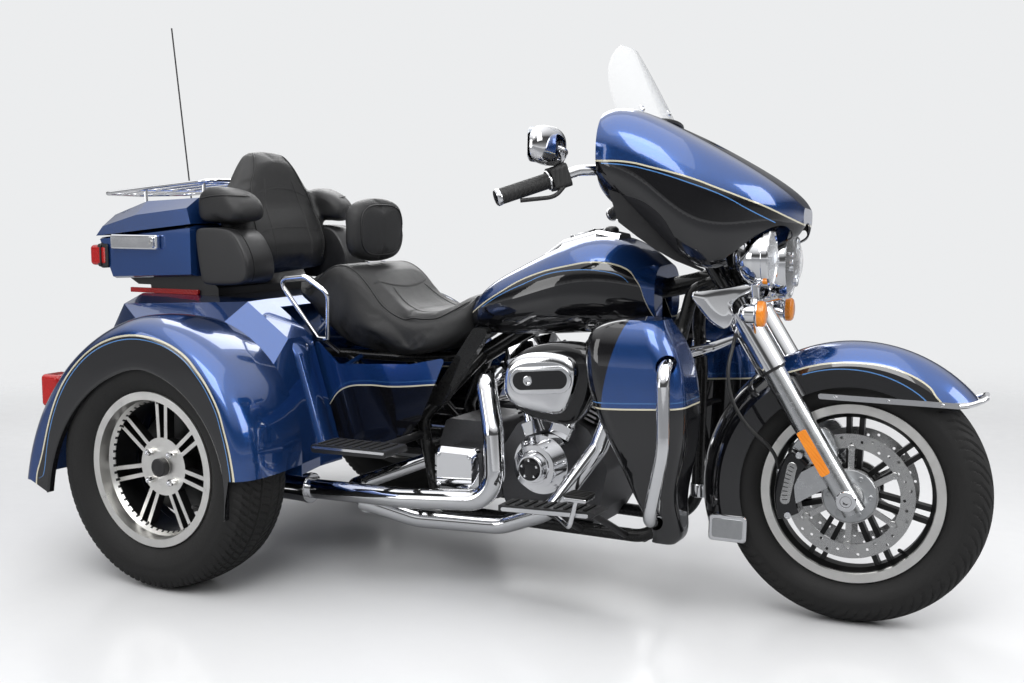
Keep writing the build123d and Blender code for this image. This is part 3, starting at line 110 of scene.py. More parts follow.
def closed(mesh, near):
    """Merges the points of a mesh that are this near each other and turns its faces outwards."""
    work = bmesh.new()
    work.from_mesh(mesh)
    bmesh.ops.remove_doubles(work, verts=work.verts, dist=near)
    bmesh.ops.recalc_face_normals(work, faces=work.faces)
    work.to_mesh(mesh)
    work.free()


class Graph:
    """The node tree of a material, a node group or the world, with short ways to add to it."""

    def __init__(self, tree):
        self.tree = tree

    def put(self, place, value):
        """Links a socket to an input, or sets the input. A colour gets an alpha of 1."""
        if isinstance(value, bpy.types.NodeSocket):
            self.tree.links.new(value, place)
        else:
            place.default_value = (*value, 1.0) if place.type == "RGBA" else value

    def node(self, kind, settings=(), **inputs):
        """One node. Its settings come first, then its inputs by name, with _ for a space."""
        made = self.tree.nodes.new("ShaderNode" + kind)
        for name, value in dict(settings).items():
            setattr(made, name, value)
        for name, value in inputs.items():
            self.put(made.inputs[name.replace("_", " ")], value)
        return made

    def math(self, operation, *values):
        """One Math node of sockets and numbers."""
        made = self.node("Math", {"operation": operation})
        for place, value in zip(made.inputs, values):
            self.put(place, value)
        return made.outputs[0]

    def mix(self, factor, low, high):
        """A colour between two, each a socket or a plain colour."""
        made = self.node("Mix", {"data_type": "RGBA"}, Factor=factor)
        self.put(made.inputs[6], low)
        self.put(made.inputs[7], high)
        return made.outputs[2]

    def polar(self, x, z):
        """The distance from the middle and the angle round it, from two coordinates."""
        squares = self.math("ADD", self.math("MULTIPLY", x, x), self.math("MULTIPLY", z, z))
        return self.math("SQRT", squares), self.math("ARCTAN2", x, z)


def shader_group(name, inputs, outputs):
    """A shader node group with named sockets: its graph, what it is given and what it gives."""
    group = bpy.data.node_groups.new(name, "ShaderNodeTree")
    group.interface.new_socket(name="Vector", in_out="INPUT", socket_type="NodeSocketVector")
    for socket, value in inputs.items():
        made = group.interface.new_socket(name=socket, in_out="INPUT", socket_type="NodeSocketFloat")
        made.default_value = value
    for socket in outputs:
        group.interface.new_socket(name=socket, in_out="OUTPUT", socket_type="NodeSocketFloat")
    given, gives = group.nodes.new("NodeGroupInput"), group.nodes.new("NodeGroupOutput")
    return Graph(group), given.outputs, gives.inputs


def film_group():
    """Handling film: soft clouds and fine specks over a surface, as a roughness between two given
    values, a tint factor and a height."""
    film, given, gives = shader_group(
        "handling_film", {"Scale": 20.0, "Smooth": 0.1, "Rough": 0.2}, ("Roughness", "Tint", "Height"))
    clouds = film.node("TexNoise", Vector=given["Vector"], Scale=given["Scale"], Detail=5.0)
    finer = film.math("MULTIPLY", given["Scale"], 23.0)
    specks = film.node("TexNoise", Vector=given["Vector"], Scale=finer, Detail=2.0).outputs["Fac"]
    both = film.node("Mix", Factor=0.35, A=clouds.outputs["Fac"], B=specks).outputs["Result"]
    span = film.node("MapRange", Value=both, From_Min=0.3, From_Max=0.7, To_Min=given["Smooth"],
                     To_Max=given["Rough"])
    for name, value in (("Roughness", span.outputs["Result"]), ("Tint", both), ("Height", specks)):
        film.put(gives[name], value)
    return film.tree


handling_film = film_group()


class Finish(Graph):
    """A material whose colour and roughness drift with the handling film."""

    def __init__(self, name, dark, light, smooth, rough, metal=0.0, coat=0.0, scale=18.0, bump=0.0):
        self.material = bpy.data.materials.new(name)
        self.material.use_nodes = True
        super().__init__(self.material.node_tree)
        self.set(Metallic=metal, Coat_Weight=coat, Coat_Roughness=0.03)
        if coat > 0.5:
            self.set(Specular_IOR_Level=0.1)
        self.where = self.node("TexCoord").outputs["Object"]
        self.film = self.node("Group", {"node_tree": handling_film}, Vector=self.where, Scale=scale,
                              Smooth=smooth, Rough=rough).outputs
        self.set(Roughness=self.film["Roughness"], Base_Color=self.mix(self.film["Tint"], dark, light))
        if bump:
            self.bump(self.film["Height"], bump)

    def set(self, **inputs):
        """Sets or links inputs of the material's own shader."""
        for name, value in inputs.items():
            self.put(self.tree.nodes["Principled BSDF"].inputs[name.replace("_", " ")], value)

    def bump(self, height, distance, strength=1.0):
        """A height that the Normal follows. Distance is the height of 1, in metres."""
        self.set(Normal=self.node("Bump", Strength=strength, Distance=distance,
                                  Height=height).outputs["Normal"])

    def pattern(self, kind, settings=(), where=None, **inputs):
        """A texture node on the object coordinates."""
        return self.node(kind, settings, Vector=where or self.where, **inputs).outputs

    def axes(self, turned_back=None):
        """The object coordinates and their X, Y and Z, first moved and turned back if asked."""
        where = self.where
        if turned_back:
            where = self.pattern("Mapping", Location=turned_back[0], Rotation=turned_back[1])["Vector"]
        return where, self.node("SeparateXYZ", Vector=where).outputs


rubber = Finish("tyre_rubber", (0.007, 0.007, 0.0072), (0.017, 0.0165, 0.016), 0.55, 0.8, scale=9.0,
                bump=0.0004)
rubber.set(Specular_IOR_Level=0.35)


def tyre_skin(bead_radius, bead_half, bead_top, half, radius, crown_half, shoulder, groove, steps=720):
    """A tyre as a side profile turned round the Y axis: bead, sidewall arc, tread arc, sidewall
    arc, bead. groove(angle, place) gives how far each tread point is sunk, place being -1 to 1."""
    belly = (bead_radius + radius) / 2
    left = arc((-bead_half, bead_top), (-half, belly), (-crown_half, shoulder), 19)
    tread = arc((-crown_half, shoulder), (0.0, radius), (crown_half, shoulder), 61)
    right = left[::-1] * [-1, 1]
    rings = 0.0011 * (np.abs(left[:, 1] - belly - 0.012) < 0.007)
    left[:, 0] += rings
    right[:, 0] -= rings[::-1]
    profile = np.vstack([[(-bead_half, bead_radius)], left, tread[1:-1], right,
                         [(bead_half, bead_radius)]])
    turn = np.linspace(0, 2 * np.pi, steps, endpoint=False)
    place = profile[:, 0] / crown_half
    over_tread = profile[:, 1] > shoulder - 0.018
    sunk = groove(turn[:, None], place[None, :]) * over_tread[None, :]
    reach = profile[None, :, 1] - sunk
    return np.stack([reach * np.sin(turn)[:, None], np.broadcast_to(profile[None, :, 0], reach.shape),
                     reach * np.cos(turn)[:, None]], axis=-1)


def rear_groove(turn, place):
    """Four grooves round the tread, and sipes that slant across it away from the middle."""
    around = sum(np.clip(1.6 - np.abs(place - at) / 0.024, 0, 1) for at in (-0.66, -0.24, 0.24, 0.66))
    phase = (turn * 96 / (2 * np.pi) + 2.6 * np.abs(place) ** 1.3) % 1.0
    across = ((phase < 0.27) & (np.abs(place) > 0.29)).astype(float)
    middle = (((turn * 96 / (2 * np.pi) + 1.4 * place + 0.5) % 1.0) < 0.2) & (np.abs(place) < 0.2)
    return 0.0052 * np.clip(around, 0, 1) + 0.003 * across * (around < 0.1) + 0.0022 * middle


for side, name in ((1, "left"), (-1, "right")):
    points = tyre_skin(bead_radius=0.1923, bead_half=0.0777, bead_top=0.2093, half=0.1025,
                       radius=rear_axle_z, crown_half=0.084, shoulder=0.314, groove=rear_groove)
    points = points * [1, side, 1] + [rear_axle_x, side * rear_wheel_y, rear_axle_z]
    build(f"rear_{name}_road_tyre", [skin(points, (True, True))], rubber, f"rear_{name}_wheel",
          f"rear_{name}_tyre", crease=28)


# ---------------------------------------------------------------- rear wheels
# Cast aluminium wheels with a deep lip: lip and spoke faces are turned bright on a lathe, and the
# barrel and pockets are painted black. Four chromed nuts hold each one round a black centre cap.
def rim_finish(name, hub, barrel, bright_from, notches, centre_y, turned_back=None):
    """Machined aluminium on the faces outboard of bright_from (distance of the face from the
    wheel's own plane of symmetry, centre_y) and black paint inside. Outside the barrel radius the
    edge of the bright face is notched."""
    made = Finish(name, (0.52, 0.52, 0.5), (0.8, 0.8, 0.78), 0.26, 0.46, metal=1.0, scale=40.0)
    _, axes = made.axes(turned_back)
    radius, turn = made.polar(made.math("SUBTRACT", axes["X"], hub[0]),
                              made.math("SUBTRACT", axes["Z"], hub[2]))
    out = made.math("SUBTRACT", made.math("ABSOLUTE", axes["Y"]), centre_y)
    tooth = made.math("GREATER_THAN", made.math("SINE", made.math("MULTIPLY", turn, float(notches))),
                      0.45)
    notch = made.math("MULTIPLY", made.math("GREATER_THAN", radius, barrel), tooth)
    bright = made.math("GREATER_THAN", out, made.math("MULTIPLY_ADD", notch, 0.008, bright_from))
    shade = made.mix(made.film["Tint"], (0.74, 0.73, 0.7), (0.95, 0.94, 0.91))
    made.set(Base_Color=made.mix(bright, (0.006, 0.006, 0.006), shade), Metallic=bright)
    made.bump(made.math("SINE", made.math("MULTIPLY", radius, 9000.0)), 0.00002, 0.6)
    return made


def dress(look, *names):
    """Gives CAD nodes one material."""
    for name in names:
        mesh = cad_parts[name].data
        mesh.materials.clear()
        mesh.materials.append(look.material)
        mesh.polygons.foreach_set("material_index", [0] * len(mesh.polygons))


rear_hub = (rear_axle_x, 0, rear_axle_z)
dress(rim_finish("rear_rim_machined", rear_hub, barrel=0.168, bright_from=0.0362, notches=56,
                 centre_y=rear_wheel_y), "rear_left_rim", "rear_right_rim")
chrome = Finish("chrome_plate", (0.8, 0.81, 0.83), (0.93, 0.93, 0.94), 0.03, 0.09, metal=1.0,
                scale=14.0)
black_plastic = Finish("black_plastic", (0.01, 0.01, 0.011), (0.02, 0.02, 0.021), 0.3, 0.48, scale=60.0,
                       bump=0.00008)


def circles(side, up, steps):
    """Unit circles of so many points, in the plane of each pair of side and up vectors."""
    turn = np.linspace(0, 2 * np.pi, steps, endpoint=False)
    return np.cos(turn)[:, None] * side[..., None, :] + np.sin(turn)[:, None] * up[..., None, :]


def unit(vectors):
    """Vectors brought to length 1."""
    return vectors / np.linalg.norm(vectors, axis=-1, keepdims=True)


def turned(outline, centre, axis, steps=48):
    """A body of revolution: each (along, radius) of the outline becomes a circle of that radius
    about the axis, that far along it."""
    along, radius = np.array(outline, float).T
    axis = unit(np.array(axis, float))
    side = unit(np.cross(axis, (0.0, 0.0, 1.0) if abs(axis[2]) < 0.9 else (1.0, 0.0, 0.0)))
    ring = circles(side, np.cross(axis, side), steps)
    points = np.array(centre, float) + along[:, None, None] * axis + radius[:, None, None] * ring
    return skin(points, (False, True))


def nut(centre, axis, across, height):
    """A chamfered six-sided nut with a round, dished end: six sides, then a shrinking circle."""
    body = turned([(0, 0), (0, across), (height * 0.8, across), (height, across * 0.86)], centre, axis,
                  6)
    top = [(height * 0.9, across * 0.9), (height * 1.15, across * 0.72), (height * 1.15, across * 0.45),
           (height * 0.8, across * 0.38), (height * 0.8, 0)]
    return [body, turned(top, centre, axis, 20)]


for side, name in ((1, "left"), (-1, "right")):
    hub = np.array([rear_axle_x, side * (rear_wheel_y + 0.037), rear_axle_z])
    out = (0, side, 0)
    nuts = []
    for quarter in range(4):
        spin = np.radians(45 + 90 * quarter)
        nuts += nut(hub + [0.053 * np.sin(spin), side * 0.005, 0.053 * np.cos(spin)], out, 0.0098,
                    0.014)
    build(f"rear_{name}_wheel_nuts", nuts, chrome, f"rear_{name}_wheel")
    cap = turned([(0.0, 0.0245), (0.0172, 0.0245), (0.0185, 0.0225), (0.0185, 0.0185), (0.0178, 0.018),
                  (0.0178, 0.006), (0.019, 0.0)], hub + [0, side * 0.001, 0], out)
    build(f"rear_{name}_centre_cap", [cap], black_plastic, f"rear_{name}_wheel")
    rim_ring = turned([(0.0168, 0.0185), (0.0194, 0.0195), (0.0194, 0.0212), (0.0168, 0.022)], hub, out)
    build(f"rear_{name}_cap_ring", [rim_ring], chrome, f"rear_{name}_wheel")
    valve = turned([(0, 0.0), (0, 0.0045), (0.018, 0.0042), (0.02, 0.0052), (0.03, 0.005),
                    (0.031, 0.0)], hub + [0.162 * np.sin(2.2), side * -0.004, 0.162 * np.cos(2.2)],
                   (-0.35 * np.sin(2.2), side, -0.35 * np.cos(2.2)), 16)
    build(f"rear_{name}_valve", [valve], black_plastic, f"rear_{name}_wheel")


# ---------------------------------------------------------------- front wheel
# A narrower tyre whose tread has slanted drainage grooves, on a cast wheel with satin black spokes
# and a turned lip. The brake rings are drilled steel on grey cast carriers.
steer_foot = np.array([rear_axle_x + 1.77, 0.0, 0.0])
front_axle = np.array([rear_axle_x + 1.67, 0.0, 0.319818])
steer_lean, leg_lean, parked_angle = np.radians([26.0, 32.0, 7.0])
steer_axis = Vector((-np.sin(steer_lean), 0.0, np.cos(steer_lean)))
fork_up = np.array([-np.sin(leg_lean), 0.0, np.cos(leg_lean)])
fork_forward = np.array([np.cos(leg_lean), 0.0, np.sin(leg_lean)])
park = np.array(Matrix.Rotation(parked_angle, 3, steer_axis))
unturn = (steer_foot - park.T @ steer_foot, Matrix(park.T).to_euler())


def parked(points):
    """Points drawn with the front end straight ahead, turned 7 degrees about the steering axis."""
    return (points - steer_foot) @ park.T + steer_foot


def steered(name, skins, look, stands_for=None, crease=35.0, outline=None, body="steering"):
    """A piece of the front end, which is drawn straight ahead and then parked."""
    return build(name, [(parked(p), q) for p, q in skins], look, body, stands_for, crease,
                 outline)


def front_groove(turn, place):
    """One wavy groove round the middle and pairs of grooves slanting out to the shoulders."""
    middle = np.abs(place - 0.08 * np.sin(turn * 34)) < 0.035
    phase = (turn * 34 / (2 * np.pi) + 1.5 * np.abs(place) + 0.5 * (place > 0)) % 1.0
    slanted = (phase < 0.16) & (np.abs(place) > 0.18)
    short = (((phase - 0.5) % 1.0) < 0.12) & (np.abs(place) > 0.62)
    return 0.0042 * np.clip(middle + slanted * 1.0 + short, 0, 1)


points, quads = skin(tyre_skin(bead_radius=0.2023, bead_half=0.0387, bead_top=0.2193, half=0.065,
                               radius=0.32, crown_half=0.054, shoulder=0.298, groove=front_groove),
                     (True, True))
steered("front_road_tyre", [(points + front_axle, quads)], rubber, "front_tyre", crease=28,
        body="front_wheel")
dress(rim_finish("front_rim_machined", front_axle, barrel=0.5, bright_from=0.0385, notches=63,
                 centre_y=0.0, turned_back=unturn), "front_rim")
steel = Finish("ground_steel", (0.42, 0.42, 0.42), (0.66, 0.66, 0.65), 0.18, 0.36, metal=1.0,
               scale=30.0)
stretched = steel.pattern("Mapping", Scale=(1200.0, 60.0, 1200.0))["Vector"]
steel.bump(steel.pattern("TexNoise", where=stretched, Scale=1.0)["Fac"], 0.00006)
cast_alloy = Finish("satin_cast_alloy", (0.4, 0.41, 0.42), (0.6, 0.61, 0.62), 0.26, 0.42, metal=1.0,
                    coat=0.4, scale=70.0, bump=0.0001)
dress(steel, "front_discs")


def fork_point(up, forward=0.0, side=0.0):
    """A point along the fork legs from the axle, ahead of them, and to the left, straight ahead."""
    return front_axle + fork_up * up + fork_forward * forward + np.array([0.0, side, 0.0])


disc_bolt = [(0, 0), (0, 0.0068), (0.0062, 0.0068), (0.0068, 0.006), (0.0068, 0.0035), (0.0035, 0.003),
             (0.0035, 0)]
disc_button = [(0, 0), (0, 0.0086), (0.0016, 0.0086), (0.0022, 0.0076), (0.0022, 0.0045),
               (0.0008, 0.0042), (0.0008, 0)]
hub_parts, dark_parts = [], []
for side in (1, -1):
    face = front_axle + np.array([0.0, side * 0.0748, 0.0])
    hub_parts.append(turned([(0.0, 0.03), (0.0012, 0.064), (0.0035, 0.062), (0.0035, 0.034),
                             (0.0, 0.03)], face, (0, side, 0)))
    for parts, first, far, out, outline in ((hub_parts, 30, 0.049, 0.002, disc_bolt),
                                            (dark_parts, 0, 0.116, 0.003, disc_button)):
        for angle in np.radians(first + 60 * np.arange(6)):
            centre = face + [far * np.sin(angle), side * out, far * np.cos(angle)]
            parts.append(turned(outline, centre, (0, side, 0), 18))
steered("front_disc_carriers", hub_parts, cast_alloy, body="front_wheel")
steered("front_disc_buttons", dark_parts, steel, body="front_wheel")
valve = turned([(0, 0), (0, 0.0042), (0.014, 0.004), (0.016, 0.005), (0.028, 0.0048), (0.029, 0)],
               front_axle + [0.186 * np.sin(2.4), -0.014, 0.186 * np.cos(2.4)],
               (-0.6 * np.sin(2.4), -1, -0.6 * np.cos(2.4)), 14)
steered("front_valve", [valve], black_plastic, body="front_wheel")


# ---------------------------------------------------------------- fork and brakes
# Cast aluminium sliders with a satin clear coat, chromed steel covers over the upper tubes, and
# black painted four-piston calipers with ribbed steel faces, on brackets at the back of the legs.
slider_alloy = Finish("slider_alloy", (0.46, 0.47, 0.48), (0.7, 0.71, 0.72), 0.17, 0.3, metal=1.0,
                      coat=0.6, scale=50.0)
gloss_black = Finish("gloss_black_paint", (0.0035, 0.0035, 0.0042), (0.007, 0.007, 0.0078), 0.12, 0.22,
                     coat=1.0, scale=6.0)
dress(slider_alloy, "fork_sliders")
dress(chrome, "fork_covers", "front_axle")
dress(gloss_black, "fork_clamps")


def stacked(rings, origin, along, up):
    """A closed form from flat rings of (along, up) points, each moved out along cross(along, up)."""
    along, up = (unit(np.array(way, float)) for way in (along, up))
    out = np.cross(along, up)
    rings = [np.array(origin) + flat[:, :1] * along + flat[:, 1:] * up + far * out
             for flat, far in rings]
    return skin(np.array(rings), (False, True))


def plate(outline, depth, origin, along, up, bevel=0.0):
    """A plate whose face is an outline of (along, up) points: the outline goes round, then steps
    in by the bevel at both faces, and a fan from the middle closes each face."""
    flat = np.array(outline, float)
    middle = flat.mean(axis=0)
    far = np.linalg.norm(flat - middle, axis=1)[:, None]
    small = middle + (flat - middle) * (1 - bevel / np.maximum(far, 1e-6))
    end = middle + 0 * flat
    rings = [(end, 0.0), (small, 0.0), (flat, bevel), (flat, depth - bevel), (small, depth),
             (end, depth)]
    return stacked(rings, origin, along, up)


def oblong(length, width, count=12, corner=None):
    """A flat outline with round corners, as (along, up) points about its middle: four quarter
    circles one after the other."""
    corner = min(length, width) / 2 if corner is None else corner
    angle = np.linspace(0, np.pi / 2, count)
    points = []
    for quarter, signs in enumerate(((1, 1), (-1, 1), (-1, -1), (1, -1))):
        turn = angle + quarter * np.pi / 2
        centre = np.array([length / 2 - corner, width / 2 - corner]) * signs
        points.append(centre + corner * np.stack([np.cos(turn), np.sin(turn)], axis=1))
    return np.concatenate(points)


def rounded_off(corners, rounds=3):
    """A closed outline with its corners cut off a few times over, which leaves a smooth curve."""
    points = np.array(corners, float)
    for _ in range(rounds):
        after = np.roll(points, -1, axis=0)
        points = np.stack([0.75 * points + 0.25 * after, 0.25 * points + 0.75 * after],
                          axis=1).reshape(-1, 2)
    return points


def domed(outline, steps, origin, along, up):
    """A closed form over an outline of (along, up) points: each step (out, inset) is a copy of the
    outline drawn in by the inset and moved out, and both ends close in their middle."""
    flat = np.array(outline, float)
    middle = flat.mean(axis=0)
    far = np.linalg.norm(flat - middle, axis=1)[:, None]
    first, last = [[(out, far), (out, (far + inset) / 2)] for out, inset in (steps[0], steps[-1])]
    rings = [(middle + (flat - middle) * (1 - np.minimum(inset, far) / far), out)
             for out, inset in first + list(steps) + last[::-1]]
    return stacked(rings, origin, along, up)


seals, inserts, ambers, bodies, faces, grooves, brackets = [], [], [], [], [], [], []
sweep_round = np.radians(np.linspace(140, 203, 22))
ring = np.stack([np.cos(sweep_round), np.sin(sweep_round)], axis=1)
body_line = rounded_off(np.concatenate([0.1735 * ring, 0.1215 * ring[::-1]]), 2)
bridge_line = np.concatenate([0.1725 * ring[3:-3], 0.1535 * ring[3:-3][::-1]])
bent = oblong(0.106, 0.0245, 8)
bend_round = np.radians(170) - bent[:, 0] / 0.147
insert_line = (0.147 + bent[:, 1])[:, None] * np.stack([np.cos(bend_round), np.sin(bend_round)], axis=1)
bracket_line = rounded_off([(-0.052, 0.166), (-0.092, 0.156), (-0.134, 0.122), (-0.142, 0.09),
                            (-0.12, 0.072), (-0.04, 0.07), (-0.024, 0.104)], 2)
caliper_forms = (
    (bodies, body_line, 0.0765, [(0.0, 0.004), (0.003, 0.0), (0.029, 0.0), (0.0335, 0.003),
                                 (0.0355, 0.009), (0.0358, 0.014)]),
    (bodies, body_line, 0.0465, [(0.0, 0.004), (0.003, 0.0), (0.018, 0.0), (0.021, 0.003)]),
    (bodies, bridge_line, 0.047, [(0.0, 0.001), (0.001, 0.0), (0.05, 0.0), (0.051, 0.001)]),
    (faces, insert_line, 0.1118, [(0.0, 0.0), (0.0022, 0.0), (0.0032, 0.001), (0.0034, 0.003)]),
    (brackets, bracket_line, 0.0835, [(0.0, 0.001), (0.001, 0.0), (0.0095, 0.0), (0.012, 0.002)]))
for side in (1, -1):
    mirror_x, along = np.array([-side, 1]), (-side, 0, 0)
    for kept, line, low, steps in caliper_forms:
        kept.append(domed(line * mirror_x, steps, front_axle + [0, side * low, 0], along, (0, 0, 1)))
    for step in np.radians(np.linspace(154, 186, 9)):
        way = np.array([np.cos(step), 0, np.sin(step)])
        grooves.append(plate(oblong(0.013, 0.0022, 4), 0.0005,
                             front_axle + 0.147 * way + [0, side * 0.1149, 0], -side * way,
                             np.cross((0, side, 0), -side * way), 0.0001))
    for degrees, far, size, out in ((141, 0.15, 0.0085, 0.1118), (201, 0.148, 0.0085, 0.1118),
                                    (122, 0.152, 0.009, 0.0945)):
        way = np.array([np.cos(np.radians(degrees)), 0, np.sin(np.radians(degrees))])
        inserts.append(turned([(0, 0), (0, size), (0.0066, size), (0.0078, size - 0.001),
                               (0.0078, size * 0.55), (0.004, size * 0.5), (0.004, 0)],
                              front_axle + far * way + [0, side * out, 0], (0, side, 0), 20))
    seals.append(turned([(0, 0.0284), (0, 0.0312), (0.004, 0.0322), (0.012, 0.0322), (0.016, 0.03),
                         (0.016, 0.0212)], fork_point(0.345, 0, side * 0.12), fork_up, 40))
    inserts.append(turned([(0, 0.0135), (0, 0.024), (0.007, 0.024), (0.009, 0.022), (0.009, 0.0135),
                           (-0.002, 0.011), (-0.002, 0)], fork_point(0, 0, side * 0.147), (0, side, 0),
                          32))
    ambers.append(plate(oblong(0.118, 0.024, 6, 0.005), 0.007, fork_point(0.133, -0.01, side * 0.1455),
                        -side * fork_up, np.cross(fork_up, (0, 1, 0)), 0.0012))
steered("caliper_bodies", bodies, gloss_black, "calipers", crease=45)
steered("caliper_brackets", brackets, slider_alloy, "calipers", crease=45)
steered("caliper_faces", faces, steel, crease=45)
steered("caliper_grooves", grooves, black_plastic)
steered("caliper_bolts", inserts, chrome)
steered("fork_seals", seals, black_plastic)


def lens(name, dark, light, scale):
    """Moulded clear plastic with a prism pattern inside: fine ribs in height under a gloss coat."""
    made = Finish(name, dark, light, 0.08, 0.16, coat=1.0, scale=25.0)
    ribs = made.pattern("TexWave", {"wave_type": "BANDS", "bands_direction": "DIAGONAL"}, Scale=scale)
    made.bump(ribs["Fac"], 0.0006, 0.7)
    made.set(Subsurface_Weight=0.15, Subsurface_Radius=(0.01, 0.004, 0.002))
    return made


amber_lens = lens("amber_lens", (0.75, 0.2, 0.015), (0.95, 0.34, 0.03), 60.0)
red_lens = lens("red_lens", (0.32, 0.004, 0.004), (0.55, 0.012, 0.01), 45.0)
steered("fork_reflectors", ambers, amber_lens)


# ---------------------------------------------------------------- brake hoses
# One rubber-covered pressure hose of 9 mm on each side: from the lower fork clamp it bows outwards
# behind the leg and ends in the back of the caliper. Both ends are crimped on.
hose_size, hose_length = 0.009, 0.4775
hose_rubber = Finish("hose_rubber", (0.012, 0.012, 0.012), (0.022, 0.022, 0.022), 0.32, 0.5, scale=90.0,
                     bump=0.0001)
route = np.array([(1.392, -0.088, 0.742), (1.396, -0.14, 0.69), (1.386, -0.176, 0.62),
                  (1.396, -0.182, 0.55), (1.43, -0.172, 0.49), (1.466, -0.15, 0.452),
                  (1.488, -0.118, 0.425), (1.5, -0.092, 0.392), (1.504, -0.08, 0.352)])
route += [rear_axle_x, 0, 0]


def hose(name, points):
    """A hose as one open spline with a round section."""
    curve = bpy.data.curves.new(name, "CURVE")
    curve.dimensions = "3D"
    spline = curve.splines.new("NURBS")
    spline.points.add(len(points) - 1)
    spline.points.foreach_set("co", np.hstack([points, np.ones((len(points), 1))]).ravel())
    spline.order_u = 3
    spline.use_endpoint_u = True
    spline.resolution_u = 12
    curve.bevel_depth, curve.bevel_resolution = hose_size / 2, 6
    curve.use_fill_caps = True
    made = bpy.data.objects.new(name, curve)
    bpy.context.collection.objects.link(made)
    curve.materials.append(hose_rubber.material)
    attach(made, "steering")
    return made


ferrules = []
for side, name in ((-1, "right"), (1, "left")):
    points = parked(route * [1, -side, 1])
    line = hose(f"brake_hose_{name}", points)
    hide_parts("brake_hoses")
    for a, b in ((0, 1), (-1, -2)):
        start, along = route[a] * [1, -side, 1], (route[b] - route[a]) * [1, -side, 1]
        ferrules.append(turned([(0.002, 0.0), (0.002, 0.0068), (0.012, 0.0068), (0.0125, 0.006),
                                (0.022, 0.006), (0.024, 0.0049)], start, along, 20))
steered("brake_hose_ferrules", ferrules, chrome)


# ---------------------------------------------------------------- front fender
# A deep pressed steel fender, painted deep blue over the crown and gloss black on the skirts under
# a cream pinstripe, with a chrome trim bar screwed along each skirt.
def flake_group():
    """Metal flake in paint: small cells of varied brightness, and a height for each cell."""
    flake, given, gives = shader_group("metal_flake", {"Scale": 2600.0}, ("Sparkle", "Height"))
    cells = flake.node("TexVoronoi", Vector=given["Vector"], Scale=given["Scale"])
    split = flake.node("SeparateColor", Color=cells.outputs["Color"])
    flake.put(gives["Sparkle"], split.outputs["Red"])
    flake.put(gives["Height"], split.outputs["Green"])
    return flake.tree


metal_flake = flake_group()
cream, light_blue, bare_black = (0.62, 0.58, 0.44), (0.08, 0.22, 0.5), (0.0045, 0.0045, 0.0055)


def above_line(look, position, height, table):
    """How far a height is above a traced line, a smooth curve through (position, height) pairs:
    the position is brought to 0..1, looked up on a curve, and the result brought back to metres."""
    low, high = np.array(table, float).min(axis=0), np.array(table, float).max(axis=0)
    span = high - low
    share = look.math("MULTIPLY", look.math("SUBTRACT", position, float(low[0])), float(1 / span[0]))
    node = look.node("FloatCurve", Value=share)
    points = node.mapping.curves[0].points
    places = (np.array(sorted(table)) - low) / span
    points[0].location, points[1].location = places[0], places[-1]
    for place in places[1:-1]:
        points.new(*place)
    node.mapping.update()
    line = look.math("MULTIPLY_ADD", node.outputs[0], float(span[1]), float(low[1]))
    return look.math("SUBTRACT", height, line)


def two_tone(name, table, second=None, turned_back=None, around=None, lower=None, behind=None,
             width=0.004):
    """Metallic deep blue above a traced line and gloss black under it, with a cream pinstripe on
    the line and a thin light blue one on a second line. Lines are heights over X, or radii over the
    angle about a centre. lower is the line under which the black is satin, and behind gives the X,
    over the height, behind which everything is black."""
    made = Finish(name, (0.004, 0.004, 0.005), (0.006, 0.006, 0.007), 0.16, 0.26, coat=1.0, scale=5.0)
    made.set(Coat_IOR=1.72)
    where, axes = made.axes(turned_back)
    position, height = axes["X"], axes["Z"]
    if around is not None:
        height, position = made.polar(made.math("SUBTRACT", position, float(around[0])),
                                      made.math("SUBTRACT", height, float(around[2])))
    above = above_line(made, position, height, table)
    blue = made.math("GREATER_THAN", above, 0.0)
    if behind is not None:
        ahead = above_line(made, height, position, behind)
        blue = made.math("MULTIPLY", blue, made.math("GREATER_THAN", ahead, 0.0))
    stripe = made.math("LESS_THAN", made.math("ABSOLUTE", above), width / 2)
    # Face on the blue is the lit, flaked blue; where the surface turns away from the camera it is
    # painted darker, towards a shadow blue: painted shade.
    facing = made.node("LayerWeight", Blend=0.35).outputs["Facing"]
    sparkle = made.pattern("Group", {"node_tree": metal_flake}, where)["Sparkle"]
    bright = made.mix(sparkle, (0.011, 0.052, 0.205), (0.027, 0.105, 0.36))
    colour = made.mix(blue, bare_black, made.mix(facing, bright, (0.006, 0.02, 0.085)))
    if lower is not None:
        satin = made.math("LESS_THAN", above_line(made, position, height, lower), 0.0)
        colour = made.mix(satin, colour, (0.018, 0.018, 0.02))
        made.set(Roughness=made.math("MULTIPLY_ADD", satin, 0.28, made.film["Roughness"]),
                 Coat_Weight=made.math("MULTIPLY_ADD", satin, -0.9, 1.0))
    if second is not None:
        thin = made.math("LESS_THAN", made.math("ABSOLUTE", above_line(made, position, height, second)),
                         0.0013)
        ends = [float(x) for x, _ in second]
        for side, end in (("GREATER_THAN", min(ends)), ("LESS_THAN", max(ends))):
            thin = made.math("MULTIPLY", thin, made.math(side, position, end))
        colour = made.mix(thin, colour, light_blue)
    made.set(Base_Color=made.mix(stripe, colour, cream),
             Metallic=made.math("MULTIPLY", made.math("MULTIPLY", blue, 0.7),
                                made.math("SUBTRACT", 1.0, stripe)))
    return made


fender_line = [(-1.95, 0.4), (-0.66, 0.4), (-0.54, 0.338), (-0.46, 0.3262), (-0.31, 0.323),
               (0.0, 0.3206), (0.307, 0.3235), (0.532, 0.3216), (0.653, 0.311), (1.05, 0.3)]
fender_second = [(-0.4, 0.31), (0.0, 0.304), (0.34, 0.298), (0.57, 0.2916), (0.7, 0.284)]
dress(two_tone("fender_two_tone", fender_line, fender_second, unturn, front_axle), "front_fender")


